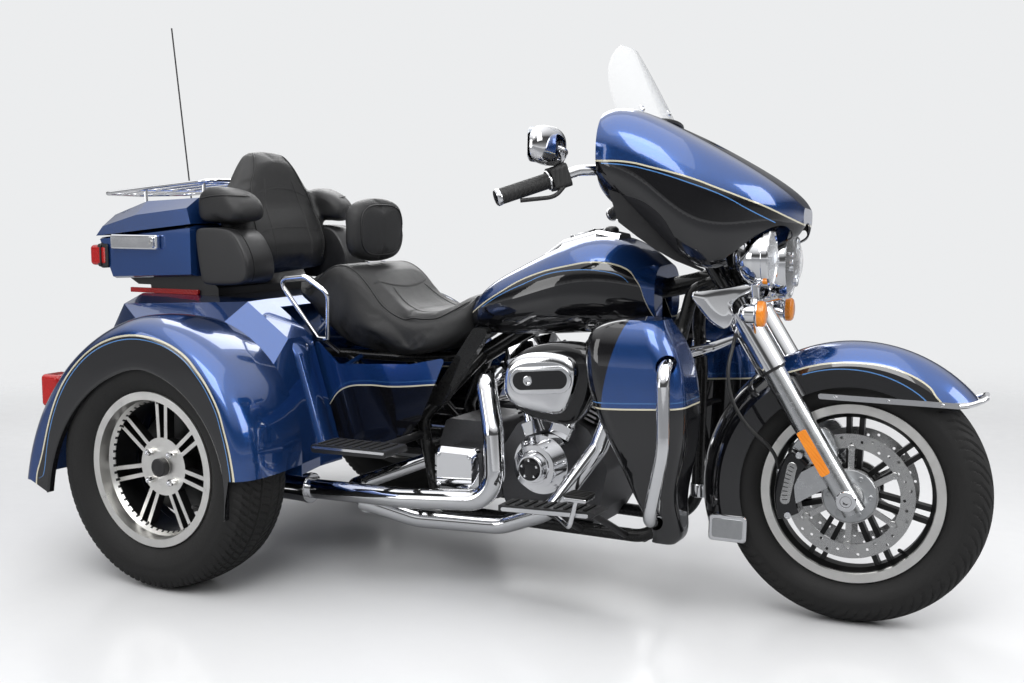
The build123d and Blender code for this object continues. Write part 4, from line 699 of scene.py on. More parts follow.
def screw(centre, way, radius=0.0055):
    """A small domed cap screw with a socket in its head."""
    return turned([(0.0, 0.0), (0.0, radius), (radius * 0.55, radius), (radius * 0.9, radius * 0.75),
                   (radius * 0.95, radius * 0.5), (radius * 0.4, radius * 0.42), (radius * 0.4, 0.0)],
                  centre, way, 18)


def resampled(points, run, places):
    """The points of a broken line at other places along its run."""
    return np.stack([np.interp(places, run, column) for column in points.T], axis=1)


def smoothed(points, rounds=2):
    """A line with its inner points moved to the mean of their neighbours a few times."""
    points = points.copy()
    for _ in range(rounds):
        points[1:-1] = (points[:-2] + 2 * points[1:-1] + points[2:]) / 4
    return points


def swept(points, radius, steps=12, fine=6):
    """A round tube along a smooth curve through the given points, closed at both ends: the ring at
    each point stands square to the curve, and the ends shrink to a point."""
    points = np.array(points, float)
    share = np.linspace(0, len(points) - 1, (len(points) - 1) * fine + 1)
    line = smoothed(resampled(points, np.arange(len(points)), share), fine)
    along = unit(np.gradient(line, axis=0))
    side = unit(np.cross(along, (0.31, 0.17, 0.94)))
    tube = line[:, None] + radius * circles(side, np.cross(along, side), steps)
    ends = [0 * tube[:1] + line[end, None] for end in (0, -1)]
    return skin(np.concatenate([ends[0], tube, ends[1]]), (False, True))


trims, cap_panels = [], []
for side in (1, -1):
    along = (0.9999, 0, -0.0125) if side < 0 else (-0.9999, 0, 0.0125)
    trims.append(plate(oblong(0.326, 0.0135, 8), 0.0065, front_axle + [0.08, side * 0.0855, 0.235],
                       along, (0, 0, 1), 0.0022))
    trims.append(swept(front_axle + np.array([(0.236, side * 0.088, 0.2325),
                                              (0.256, side * 0.085, 0.235),
                                              (0.272, side * 0.078, 0.2405),
                                              (0.286, side * 0.066, 0.247),
                                              (0.294, side * 0.052, 0.2515)]), 0.0062))
    for step in (-0.12, 0.0, 0.12):
        trims.append(screw(front_axle + [0.08 + step, side * 0.0918, 0.235 - step * 0.0125],
                           (0, side, 0), 0.004))
    cap = front_axle + [-0.288, side * 0.07, -0.106]
    trims.append(plate(oblong(0.094, 0.066, 6, 0.01), 0.0215, cap, along, (0, 0, 1), 0.003))
    cap_panels.append(plate(oblong(0.076, 0.048, 6, 0.006), 0.0016, cap + [0, side * 0.0213, 0], along,
                            (0, 0, 1), 0.0006))
steered("fender_cap_panels", cap_panels, cast_alloy)
steered("front_fender_trim", trims, chrome)


# ---------------------------------------------------------------- handlebar, controls and mirrors
# A chromed steel bar whose hand controls all take one ribbed grip rubber, chromed bar end caps,
# and chromed mirrors with silvered glass.
grip = Finish("grip_rubber", (0.01, 0.01, 0.01), (0.02, 0.02, 0.02), 0.45, 0.65, scale=50.0)
grip.bump(grip.pattern("TexWave", {"bands_direction": "Y"}, Scale=42.0)["Fac"], 0.0012)
dress(grip, "hand_controls")
dress(chrome, "handlebar")


def at(x, y, z):
    """A point counted from the rear axle forward, from the middle plane to the left, and up."""
    return np.array([rear_axle_x + x, y, z])


def squarish(turn, wide, high, power, other=None):
    """Points round an oval with square shoulders: the cosine and sine of the turn, each raised to
    a power and stretched."""
    both = np.stack([np.cos(turn), np.sin(turn)], axis=-1)
    return np.sign(both) * np.abs(both) ** [power, other or power] * [wide, high]


end_caps, glasses, shells = [], [], []
for side in (1, -1):
    inner, outer = at(0.993, side * 0.364, 1.0527), at(0.903, side * 0.433, 1.012)
    along = unit(outer - inner)
    end_caps.append(turned([(0.006, 0.0), (0.006, 0.0195), (0.008, 0.0205), (0.014, 0.0205),
                            (0.017, 0.018), (0.018, 0.012), (0.0175, 0.0)], outer, along, 32))
    end_caps.append(turned([(0.001, 0.0192), (0.001, 0.0225), (0.0035, 0.0235), (0.006, 0.0225),
                            (0.006, 0.0192), (0.001, 0.0192)], inner, along, 32))
    facing = np.array([-0.985, -side * 0.174, 0.0])
    mirror = at(1.004, side * 0.399, 1.129)
    across_glass = np.cross((0, 0, 1), facing)
    glasses.append(plate(oblong(0.138, 0.08, 8, 0.018), 0.0009, mirror + facing * 0.0178, across_glass,
                         (0, 0, 1), 0.0005))
    front = np.sqrt(np.clip(1 - np.linspace(0, 1, 12) ** 2, 0, 1))
    scale = np.concatenate([[0.0, 0.9, 0.95, 0.985], np.ones(4), front])[:, None, None]
    oval = squarish(np.linspace(0, 2 * np.pi, 49)[:-1], 0.074, 0.045, 0.75)[None] * scale
    depth = np.linspace(-0.0165, 0.0175, 20)[:, None, None]
    shells.append(skin(mirror + oval[..., :1] * across_glass + oval[..., 1:] * [0, 0, 1.0]
                       - depth * facing, (False, True)))
    stem = [(1.003, 0.345, 1.074), (1.016, 0.352, 1.092), (1.026, 0.356, 1.108), (1.034, 0.366, 1.118),
            (1.03, 0.38, 1.123), (1.02, 0.39, 1.126), (1.01, 0.396, 1.128)]
    shells.append(swept(np.array(stem) * [1, side, 1] + [rear_axle_x, 0, 0], 0.0048))
steered("bar_end_caps", end_caps, chrome)
steered("mirror_shells", shells, chrome, "mirrors", crease=60)
mirror_glass = Finish("silvered_glass", (0.78, 0.8, 0.82), (0.86, 0.88, 0.9), 0.01, 0.03, metal=1.0,
                      scale=8.0)
steered("mirror_glasses", glasses, mirror_glass)


# ---------------------------------------------------------------- fairing and screen
# A moulded plastic fairing on the fork, blue above a pinstripe, black below it, with a satin lower
# panel, round gauges in the dash behind it and a clear polycarbonate screen screwed on its top.
fairing_line = [(1.02, 1.101), (1.106, 1.1), (1.171, 1.096), (1.231, 1.083), (1.314, 1.061),
                (1.368, 1.041), (1.42, 1.021), (1.47, 1.001), (1.507, 0.982), (1.545, 0.96)]
fairing_second = [(1.106, 1.094), (1.171, 1.088), (1.231, 1.075), (1.314, 1.049), (1.383, 1.023),
                  (1.441, 0.991), (1.49, 0.965)]
fairing_seam = [(1.02, 1.03), (1.119, 1.022), (1.167, 1.019), (1.23, 0.992), (1.274, 0.937),
                (1.286, 0.885), (1.29, 0.84)]


def from_rear_axle(table):
    """A traced line with its X counted from the rear axle, moved to the frame's own X."""
    return [(x + rear_axle_x, z) for x, z in table]


dress(two_tone("fairing_two_tone", from_rear_axle(fairing_line), from_rear_axle(fairing_second), unturn,
               lower=from_rear_axle(fairing_seam)), "fairing_outer")
dress(black_plastic, "fairing_inner")


def see_through(name, dark, light, smooth, rough, scale, gloss, face_on, edge_on):
    """Clear plastic: little of it shows face on, and more of it towards the edges."""
    made = Finish(name, dark, light, smooth, rough, scale=scale)
    # The plastic is really clear: its pale colour, shown more towards the edges, is a painted
    # reflection, while its gloss still reflects for real.
    facing = made.node("LayerWeight", Blend=0.5).outputs["Facing"]
    alpha = made.math("MULTIPLY_ADD", made.math("POWER", facing, 3.0), edge_on - face_on, face_on)
    made.set(Alpha=alpha, Specular_IOR_Level=gloss)
    return made


dress(see_through("clear_screen", (0.93, 0.95, 0.96), (0.97, 0.98, 0.985), smooth=0.01, rough=0.04,
                  scale=12.0, gloss=0.9, face_on=0.05, edge_on=0.55),
      "windshield")


def gauge_face():
    """A printed dial: white ticks round a black face, drawn from the angle and the radius that the
    surface's own UV holds."""
    black = (0.008, 0.008, 0.009)
    made = Finish("gauge_face", black, (0.014, 0.014, 0.015), 0.2, 0.3, coat=1.0, scale=40.0)
    uv = made.node("UVMap", {"uv_map": "surface"}).outputs["UV"]
    axes = made.node("SeparateXYZ", Vector=uv).outputs
    wave = made.math("COSINE", made.math("MULTIPLY", axes["X"], 40 * 2 * np.pi))
    from_bottom = made.math("ABSOLUTE", made.math("SUBTRACT", axes["X"], 0.75))
    mark = made.math("GREATER_THAN", wave, 0.72)
    for side, value, limit in (("GREATER_THAN", axes["Y"], 0.76), ("LESS_THAN", axes["Y"], 0.9),
                               ("GREATER_THAN", from_bottom, 0.12)):
        mark = made.math("MULTIPLY", mark, made.math(side, value, limit))
    made.set(Base_Color=made.mix(mark, black, (0.7, 0.7, 0.66)))
    return made


dials, bezels, needles, outline = [], [], [], []
for y, z, radius in ((0.062, 1.13, 0.04), (-0.062, 1.13, 0.04), (0.158, 1.15, 0.02),
                     (-0.158, 1.15, 0.02), (0.118, 1.166, 0.014), (-0.118, 1.166, 0.014)):
    centre = at(1.1685, y, z)
    turn = np.linspace(0, 2 * np.pi, 65)
    share = np.linspace(0, 1, 6)
    rim_way = np.stack([0 * turn, -np.cos(turn), np.sin(turn)], axis=1)
    points = centre + [-0.0035, 0, 0] + radius * share[:, None, None] * rim_way
    dials.append(skin(points))
    outline.append(np.stack(np.broadcast_arrays(turn[None, :] / (2 * np.pi), share[:, None]),
                            axis=-1).reshape(-1, 2))
    bezels.append(turned([(0.0, radius), (0.0085, radius), (0.01, radius + 0.0015),
                          (0.01, radius + 0.0035), (0.0, radius + 0.0065), (0.0, radius)], centre,
                         (-1, 0, 0), 56))
    needle = np.radians(215 if radius > 0.03 else 160)
    way = np.array([0, -np.cos(needle), np.sin(needle)])
    needles.append(plate([(0, -0.0012), (radius * 0.78, -0.0004), (radius * 0.78, 0.0004), (0, 0.0012)],
                         0.0008, centre + [-0.0045, 0, 0], way, np.cross((-1, 0, 0), way), 0.0001))
    needles.append(turned([(0, 0), (0, radius * 0.14), (0.002, radius * 0.12), (0.002, 0)],
                          centre + [-0.0042, 0, 0], (-1, 0, 0), 20))
steered("gauge_dials", dials, gauge_face(), outline=np.concatenate(outline))
steered("gauge_bezels", bezels, chrome)
red_plastic = Finish("red_plastic", (0.45, 0.012, 0.01), (0.6, 0.02, 0.015), 0.25, 0.4, scale=90.0)
steered("gauge_needles", needles, red_plastic)
panel = [plate(oblong(0.182, 0.052, 6, 0.006), 0.006, at(1.1688, 0, 1.062), (0, -1, 0), (0, 0, 1),
               0.0012)]
keys = []
for column in range(5):
    keys.append(plate(oblong(0.02, 0.008, 5, 0.002), 0.0035, at(1.163, -0.056 + 0.028 * column, 1.045),
                      (0, -1, 0), (0, 0, 1), 0.0008))
for side in (1, -1):
    keys.append(turned([(0, 0), (0, 0.0095), (0.01, 0.0088), (0.0115, 0.007), (0.0115, 0)],
                       at(1.163, side * 0.078, 1.068), (-1, 0, 0), 28))
steered("dash_panel", panel, gloss_black)
steered("dash_keys", keys, black_plastic)
turn = np.linspace(-1, 1, 61)
seal_x, seal_bow, seal_half = 1.196, 0.07, 0.232
seal_line = at(seal_x, 0, 0) + np.stack([0.004 - seal_bow * turn**2, seal_half * turn,
                                        1.2215 - 0.012 * turn**2 - 0.045 * np.abs(turn) ** 4], axis=1)
strip = [skin(seal_line[:, None] + 0.0055 * circles(np.array([1.0, 0, 0]), np.array([0, 0, 1.0]), 12),
              (False, True))]
steered("screen_seal", strip, black_plastic)
screws = []
for y, z in ((-0.15, 1.242), (0.15, 1.242), (0.0, 1.247)):
    x = seal_x - seal_bow * (y / seal_half) ** 2 - 0.5 * (z - 1.206)
    normal = np.array([0.86, 0.6 * y / seal_half * 0.6, 0.45])
    screws.append(turned([(0.0, 0.0), (0.0, 0.0085), (0.0022, 0.0085), (0.004, 0.006), (0.0044, 0.0034),
                          (0.003, 0.0028), (0.003, 0.0)], at(x, y, z), normal, 20))
steered("screen_screws", screws, chrome)


# ---------------------------------------------------------------- lamps at the front
# A round LED headlamp and two chromed bucket lamps, with clear domed glasses over faceted
# reflectors, and bullet signals with amber lenses under the lamp bar.
def zones(node, looks, pick, on_steering=True):
    """Gives a CAD node several materials: pick gets the face middles, counted from the rear axle
    and with the front end turned back straight ahead, and returns a material number for each."""
    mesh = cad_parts[node].data
    mesh.materials.clear()
    for look in looks:
        mesh.materials.append(look.material)
    middle = np.empty(len(mesh.polygons) * 3)
    mesh.polygons.foreach_get("center", middle)
    middle = middle.reshape(-1, 3)
    if on_steering:
        middle = (middle - steer_foot) @ park + steer_foot
    mesh.polygons.foreach_set("material_index", pick(middle - [rear_axle_x, 0, 0]).astype(np.int32))


reflector = Finish("lamp_reflector", (0.6, 0.62, 0.65), (0.85, 0.87, 0.9), 0.06, 0.14, metal=1.0,
                   scale=60.0)
cells = reflector.pattern("TexVoronoi", {"distance": "CHEBYCHEV", "feature": "F1"}, Scale=70.0,
                          Randomness=0.2)
reflector.bump(cells["Distance"], 0.004)


def lamp_pick(points):
    """Chrome everywhere, facets on the spot lamps' fronts and amber on the signals' front ends."""
    from_spot = np.hypot(np.abs(points[:, 1]) - spot_wide, points[:, 2] - spot_high)
    front = (from_spot < 0.0625) & (points[:, 0] > 1.4775)
    signal = (points[:, 2] < 0.7765) & (np.abs(points[:, 1]) > 0.176) & (points[:, 0] > 1.462)
    return front * 1 + signal * 2


def headlamp_pick(points):
    """Chrome bezel and shell, with the dark optics inside the bezel."""
    from_middle = np.hypot(points[:, 1], points[:, 2] - lamp_high)
    return ((from_middle < 0.0835) & (points[:, 0] > 1.4935)).astype(int)


lamp_high, spot_wide, spot_high = 0.876, 0.17, 0.883
zones("auxiliary_lamps", [chrome, reflector, amber_lens], lamp_pick)
zones("headlamp", [chrome, gloss_black], headlamp_pick)
glass = see_through("lamp_glass", (0.97, 0.98, 0.99), (0.99, 0.99, 1.0), smooth=0.0, rough=0.02,
                    scale=10.0, gloss=0.8, face_on=0.1, edge_on=0.7)


def dome(radius, height, foot, count=18):
    """The outline of a shallow dome that starts at a foot, as part of a circle."""
    ball = (radius**2 + height**2) / (2 * height)
    angle = np.linspace(np.arcsin(radius / ball), 0, count)
    return [(foot + (ball * np.cos(a) - ball + height), ball * np.sin(a)) for a in angle]


glasses, optics, bezels, bulbs, ambers, covers = [], [], [], [], [], []
nacelle_line = rounded_off([(1.2835, 0.7946), (1.32, 0.803), (1.381, 0.812), (1.433, 0.823),
                            (1.445, 0.807), (1.405, 0.789), (1.388, 0.769), (1.397, 0.743),
                            (1.3795, 0.706), (1.34, 0.724), (1.309, 0.759)], 2)
lamp = at(1.49, 0, lamp_high)
glasses.append(turned([(0.0045, 0.0), (0.0045, 0.082)] + dome(0.0815, 0.031, 0.0055), lamp, (1, 0, 0),
                      64))
bezels.append(turned([(-0.018, 0.0885), (-0.016, 0.0925), (0.004, 0.0925), (0.0095, 0.0895),
                      (0.0095, 0.0855), (0.006, 0.0825), (0.001, 0.0825), (-0.018, 0.0885)], lamp,
                     (1, 0, 0), 72))
for z in (0.034, -0.034):
    optics.append(turned([(0.004, 0.027), (0.0245, 0.027), (0.026, 0.0255), (0.026, 0.0225),
                          (0.018, 0.022), (0.004, 0.027)], lamp + [0, 0, z], (1, 0, 0), 40))
    bulbs.append(turned([(0.012, 0.0225)] + dome(0.022, 0.009, 0.0165, 8), lamp + [0, 0, z], (1, 0, 0),
                        40))
for y in (0.05, -0.05):
    for z in (0.0, 0.017, -0.017):
        optics.append(plate(oblong(0.024, 0.012, 5, 0.003), 0.01, lamp + [0.0125, y, z], (0, 1, 0),
                            (0, 0, 1), 0.001))
for side in (1, -1):
    spot = at(1.478, side * spot_wide, spot_high)
    glasses.append(turned([(0.0, 0.0), (0.0, 0.062)] + dome(0.0618, 0.0145, 0.001), spot, (1, 0, 0),
                          56))
    bezels.append(turned([(-0.012, 0.0682), (-0.01, 0.071), (0.002, 0.071), (0.0055, 0.0685),
                          (0.0055, 0.0645), (0.002, 0.0618), (-0.012, 0.0682)], spot, (1, 0, 0), 64))
    bulbs.append(turned([(0.006, 0.0)] + dome(0.013, 0.006, 0.01, 6)[::-1] + [(0.006, 0.013)], spot,
                        (1, 0, 0), 28))
    signal = at(1.446, side * 0.2, 0.752)
    bezels.append(turned([(0.006, 0.02), (0.008, 0.0275), (0.012, 0.0315), (0.014, 0.0315),
                          (0.014, 0.0)], signal, (1, 0, 0), 48))
    ambers.append(turned([(0.014, 0.0), (0.014, 0.0305), (0.019, 0.0312), (0.026, 0.0305),
                          (0.0305, 0.0265), (0.0328, 0.018), (0.0335, 0.0)], signal, (1, 0, 0), 48))
    covers.append(domed(nacelle_line * [-side, 1],
                        [(0.0, 0.002), (0.0015, 0.0), (0.007, 0.0), (0.0095, 0.0015), (0.0105, 0.005)],
                        at(0, side * 0.157, 0), (-side, 0, 0), (0, 0, 1)))
steered("lamp_glasses", glasses, glass)
steered("signal_lenses", ambers, amber_lens)
steered("fork_nacelles", covers, chrome, crease=45)
steered("lamp_bezels", bezels, chrome)
steered("headlamp_modules", optics, reflector)
bulb = Finish("lamp_projector", (0.75, 0.8, 0.86), (0.92, 0.95, 1.0), 0.03, 0.08, scale=80.0, coat=1.0)
bulb.set(Emission_Color=(0.85, 0.92, 1.0), Emission_Strength=0.25)
steered("lamp_projectors", bulbs, bulb)


# ---------------------------------------------------------------- frame, axle and guard
# Welded steel tube with gloss black powder coat, the chromed engine guard, and the black painted
# rear axle with its shock absorbers.
powder = Finish("powder_coat", (0.006, 0.006, 0.006), (0.014, 0.014, 0.014), 0.22, 0.36, coat=0.6,
                scale=120.0, bump=0.00012)
dress(powder, "frame", "rear_axle", "shock_absorbers", "frame_covers")
dress(chrome, "engine_guard", "grab_rails", "luggage_rack", "exhaust")
clamps = []
for side in (1, -1):
    for point in (at(1.236, side * 0.116, 0.25), at(1.236, side * 0.112, 0.64)):
        clamps.append(turned([(-0.018, 0.0172), (-0.018, 0.0225), (-0.016, 0.024), (0.016, 0.024),
                              (0.018, 0.0225), (0.018, 0.0172)], point, (0, 0, 1), 32))
        clamps.append(turned([(0.0, 0.0), (0.0, 0.0065), (0.007, 0.0062), (0.0085, 0.005),
                              (0.0085, 0.0)], point + [0.0225, 0, 0], (1, 0, 0), 20))
build("guard_clamps", clamps, chrome, "chassis")


# ---------------------------------------------------------------- engine
# An air cooled vee twin: black cylinders with turned bright fin edges, a satin grey crankcase,
# and chromed rocker, cam, gearbox and primary covers held by small chromed screws.
def fin_finish():
    """Wrinkle black paint whose outer fin edges are machined bright: the height along each cylinder
    picks the fins, and the distance from the cylinder's centre line picks the edges."""
    made = Finish("cylinder_black", (0.008, 0.008, 0.008), (0.016, 0.016, 0.016), 0.4, 0.55,
                  scale=300.0, bump=0.0002)
    _, axes = made.axes()
    x = made.math("SUBTRACT", axes["X"], float(crank[0]))
    z = made.math("SUBTRACT", axes["Z"], float(crank[2]))
    level, upright = (made.math("MULTIPLY", value, float(share)) for value, share in (
        (made.math("ABSOLUTE", x), np.cos(half_vee)), (z, np.sin(half_vee))))
    across = made.math("ABSOLUTE", made.math("SUBTRACT", level, upright))
    edge = made.math("MAXIMUM", made.math("GREATER_THAN", across, 0.0848),
                     made.math("GREATER_THAN", made.math("ABSOLUTE", axes["Y"]), 0.0768))
    made.set(Base_Color=made.mix(edge, (0.01, 0.01, 0.01), (0.62, 0.62, 0.62)), Metallic=edge)
    return made


half_vee, crank = np.radians(22.5), at(0.905, 0, 0.335)
dress(fin_finish(), "cylinders")
case_alloy = Finish("crankcase_alloy", (0.1, 0.1, 0.105), (0.17, 0.17, 0.175), 0.38, 0.52, metal=1.0,
                    scale=200.0, bump=0.00025)
dress(case_alloy, "engine_case", "gearbox")
dress(chrome, "rocker_covers", "engine_covers", "primary_cover", "pushrod_tubes")
screws, lines = [], []
cam = at(0.91, -0.252, 0.343)
for angle in np.radians(72 * np.arange(5) + 20):
    screws.append(screw(cam + [0.0225 * np.cos(angle), -0.0018, 0.0225 * np.sin(angle)], (0, -1, 0),
                        0.0036))
for angle in np.radians(60 * np.arange(6) + 10):
    screws.append(screw(at(0.91 + 0.069 * np.cos(angle), -0.19, 0.343 + 0.069 * np.sin(angle)),
                        (0, -1, 0)))
lines.append(turned([(0.0, 0.0445), (0.0024, 0.0435), (0.003, 0.041), (0.003, 0.039), (0.0, 0.038)],
                    at(0.91, -0.23, 0.343), (0, -1, 0), 56))
gearbox_holes = ((0.628, 0.272), (0.628, 0.352), (0.724, 0.272), (0.724, 0.352))
primary_holes = ((0.585, 0.262), (0.585, 0.392), (0.65, 0.424), (0.785, 0.428), (0.92, 0.428),
                 (1.005, 0.392), (1.012, 0.27), (0.93, 0.23), (0.79, 0.228), (0.65, 0.23))
for holes, y in ((gearbox_holes, -0.2402), (primary_holes, 0.2215)):
    screws += [screw(at(x, y, z), (0, np.sign(y), 0)) for x, z in holes]
for side in (1, -1):
    lean = half_vee * side
    up, ahead = np.array([np.sin(lean), 0, np.cos(lean)]), np.array([np.cos(lean), 0, -np.sin(lean)])
    for high, far, wide, size in ((0.299, 0.06728, 0.0672, 0.005), (0.3309, 0.034, 0.03, 0.0045)):
        for a, b in ((1, 1), (-1, 1), (1, -1), (-1, -1)):
            screws.append(screw(crank + up * high + ahead * a * far + [0, b * wide, 0], up, size))
    plug = crank + up * 0.245 + [0, -0.078, 0]
    lines.append(turned([(-0.01, 0.0), (-0.01, 0.009), (0.012, 0.009), (0.013, 0.0058), (0.034, 0.0048),
                         (0.036, 0.0062), (0.046, 0.0062), (0.048, 0.0)], plug, (0.35 * side, -1, 0.1),
                        20))
    for offset in (-0.016, 0.016):
        low = crank + up * 0.122 + ahead * (0.002 + offset) + [0, -0.13, 0]
        high = crank + up * 0.272 + ahead * (offset * 1.5) + [0, -0.092, 0]
        along = unit(high - low)
        for share, radius in ((0.02, 0.0125), (0.52, 0.0112), (0.9, 0.0112)):
            lines.append(turned([(-0.005, 0.0088), (-0.005, radius), (0.005, radius), (0.005, 0.0088)],
                                low + (high - low) * share, along, 24))
build("engine_screws", screws, chrome, "chassis")
build("engine_trim", lines, chrome, "chassis")
body_line = [(0.867, 0.568), (0.874, 0.625), (0.918, 0.662), (0.99, 0.68), (1.082, 0.678),
             (1.106, 0.652), (1.114, 0.618), (1.1, 0.56), (1.07, 0.498), (1.046, 0.474), (0.985, 0.476),
             (0.925, 0.488), (0.88, 0.512)]
body_steps = [(0.0, 0.012), (0.004, 0.003), (0.01, 0.0), (0.052, 0.0), (0.06, 0.003), (0.067, 0.01),
              (0.071, 0.022)]
cover_line = [(0.869, 0.57), (0.878, 0.622), (0.922, 0.65), (0.985, 0.658), (1.048, 0.652),
              (1.073, 0.628), (1.072, 0.585), (1.05, 0.528), (1.03, 0.502), (0.97, 0.506),
              (0.912, 0.512), (0.876, 0.534)]
cover_steps = [(0.0, 0.004), (0.003, 0.0), (0.012, 0.0), (0.019, 0.002), (0.0245, 0.007),
               (0.0275, 0.015), (0.0285, 0.026)]
shell = domed(rounded_off(body_line), body_steps, at(0, -0.235, 0), (1, 0, 0), (0, 0, 1))
build("air_cleaner_body", [shell], gloss_black, "chassis", "air_cleaner", crease=50)
tilted = (1, 0, 0.1), (-0.1, 0, 1)
parts = [domed(rounded_off(cover_line), cover_steps, at(0, -0.3, 0), (1, 0, 0), (0, 0, 1)),
         domed(oblong(0.172, 0.068, 14), [(0.0, 0.0), (0.002, 0.0), (0.0035, 0.0015), (0.0038, 0.004)],
               at(0.978, -0.3265, 0.588), *tilted)]
parts.append(turned([(0.0, 0.0), (0.0, 0.0125), (0.002, 0.012), (0.0028, 0.009), (0.002, 0.007),
                     (0.002, 0.0)], at(0.946, -0.3315, 0.5848), (0, -1, 0), 32))
build("air_cleaner_cover", parts, chrome, "chassis", "air_cleaner", crease=50)
insert = plate(oblong(0.15, 0.046, 14), 0.0016, at(0.978, -0.33, 0.588), *tilted, 0.0005)
build("air_cleaner_insert", [insert], gloss_black, "chassis")
centre = turned([(0.0, 0.0), (0.0, 0.0305), (0.0012, 0.03), (0.0018, 0.0285), (0.0018, 0.0)],
                cam + [0, -0.0001, 0], (0, -1, 0), 48)
build("cam_cover_insert", [centre], gloss_black, "chassis")
slits = []
for side in (1, -1):
    slits.append(turned([(0.0, 0.0322), (0.0, 0.0345), (0.01, 0.035), (0.014, 0.0335), (0.014, 0.0322)],
                        at(-0.388, side * 0.315, 0.2386), (-1, 0, 0), 40))
    for x in (0.255, -0.318):
        slits.append(turned([(-0.006, 0.0402), (-0.005, 0.0424), (0.005, 0.0424), (0.006, 0.0402)],
                            at(x, side * 0.315, 0.2325 + (0.262 - x) * 0.0101), (1, 0, -0.0101), 44))
build("muffler_bands", slits, chrome, "chassis")


# ---------------------------------------------------------------- tank and console
# A pressed steel tank, blue over the top and gloss black on the sides under a cream pinstripe,
# with a chromed console over its middle, and a chromed fuel door with a lock.
tank_line = [(0.64, 0.712), (0.666, 0.728), (0.75, 0.778), (0.863, 0.833), (0.97, 0.861),
             (1.037, 0.871), (1.095, 0.863), (1.142, 0.822), (1.158, 0.779), (1.19, 0.7)]
tank_second = [(0.7, 0.742), (0.83, 0.806), (0.972, 0.849), (1.065, 0.848), (1.122, 0.821)]
dress(two_tone("tank_two_tone", from_rear_axle(tank_line), from_rear_axle(tank_second)), "fuel_tank")
dress(chrome, "tank_console", "fuel_door")
slope = unit(np.array([0.1, 0.0, 0.028]))
normal = np.array([-slope[2], 0.0, slope[0]])
console_parts, console_dark = [], []
lid_middle = at(0.95, 0, 0.9418)
console_parts.append(turned([(0.0, 0.0), (0.0, 0.0105), (0.0022, 0.0105), (0.0032, 0.009),
                             (0.0032, 0.005), (0.0018, 0.0045), (0.0018, 0.0)],
                            lid_middle + slope * -0.018, normal, 28))
for x, y in ((-0.034, 0.028), (-0.034, -0.028), (0.034, 0.028), (0.034, -0.028)):
    console_parts.append(screw(lid_middle + slope * x + [0, y, 0] - normal * 0.0005, normal, 0.0035))
console_dark.append(plate(oblong(0.0035, 0.0012, 4), 0.0006,
                          lid_middle + slope * -0.018 + normal * 0.0016, slope, np.cross(normal, slope),
                          0.0001))
build("fuel_door_lock", console_parts, chrome, "fuel_door_body")
build("fuel_door_keyhole", console_dark, black_plastic, "fuel_door_body")
switch = [turned([(0.0, 0.0), (0.0, 0.019), (0.006, 0.0185), (0.01, 0.016), (0.014, 0.01),
                  (0.0145, 0.0)], at(1.022, 0, 0.9455), (0.05, 0, 1), 40)]
switch.append(plate(oblong(0.03, 0.007, 6), 0.008, at(1.022, 0, 0.958), (1, 0, 0), (0, -1, 0), 0.0015))
build("ignition_switch", switch, black_plastic, "chassis")


# ---------------------------------------------------------------- seat and backrests
# Foam pads under a black leather-like cover: a low bucket for the rider, a raised passenger's pad,
# a small rider's backrest and a winged passenger's backrest. The panels are sewn with twin rows of
# thread, with piping along the edges.
leather = Finish("seat_leather", (0.0075, 0.0075, 0.0078), (0.017, 0.017, 0.0175), 0.36, 0.5,
                 scale=14.0)
grain = leather.pattern("TexVoronoi", {"feature": "DISTANCE_TO_EDGE"}, Scale=520.0)["Distance"]
pits = leather.node("MapRange", From_Max=0.35, Value=grain).outputs["Result"]
fold = leather.pattern("TexNoise", Scale=26.0, Detail=3.0)["Fac"]
leather.bump(leather.math("MULTIPLY_ADD", fold, 3.0, pits), 0.00035, 0.8)


def form(skins):
    """A plain mesh of closed skins, for a pad to start from."""
    points = np.concatenate([some for some, _ in skins])
    starts = np.cumsum([0] + [len(some) for some, _ in skins[:-1]])
    mesh = bpy.data.meshes.new("form")
    mesh.from_pydata(points, [], np.concatenate([quads + start
                                                 for (_, quads), start in zip(skins, starts)]).tolist())
    return mesh


def moved_points(mesh, kind="co"):
    """The points of a mesh, or their normals, as one row each."""
    values = np.empty(len(mesh.vertices) * 3)
    mesh.vertices.foreach_get(kind, values)
    return values.reshape(-1, 3)


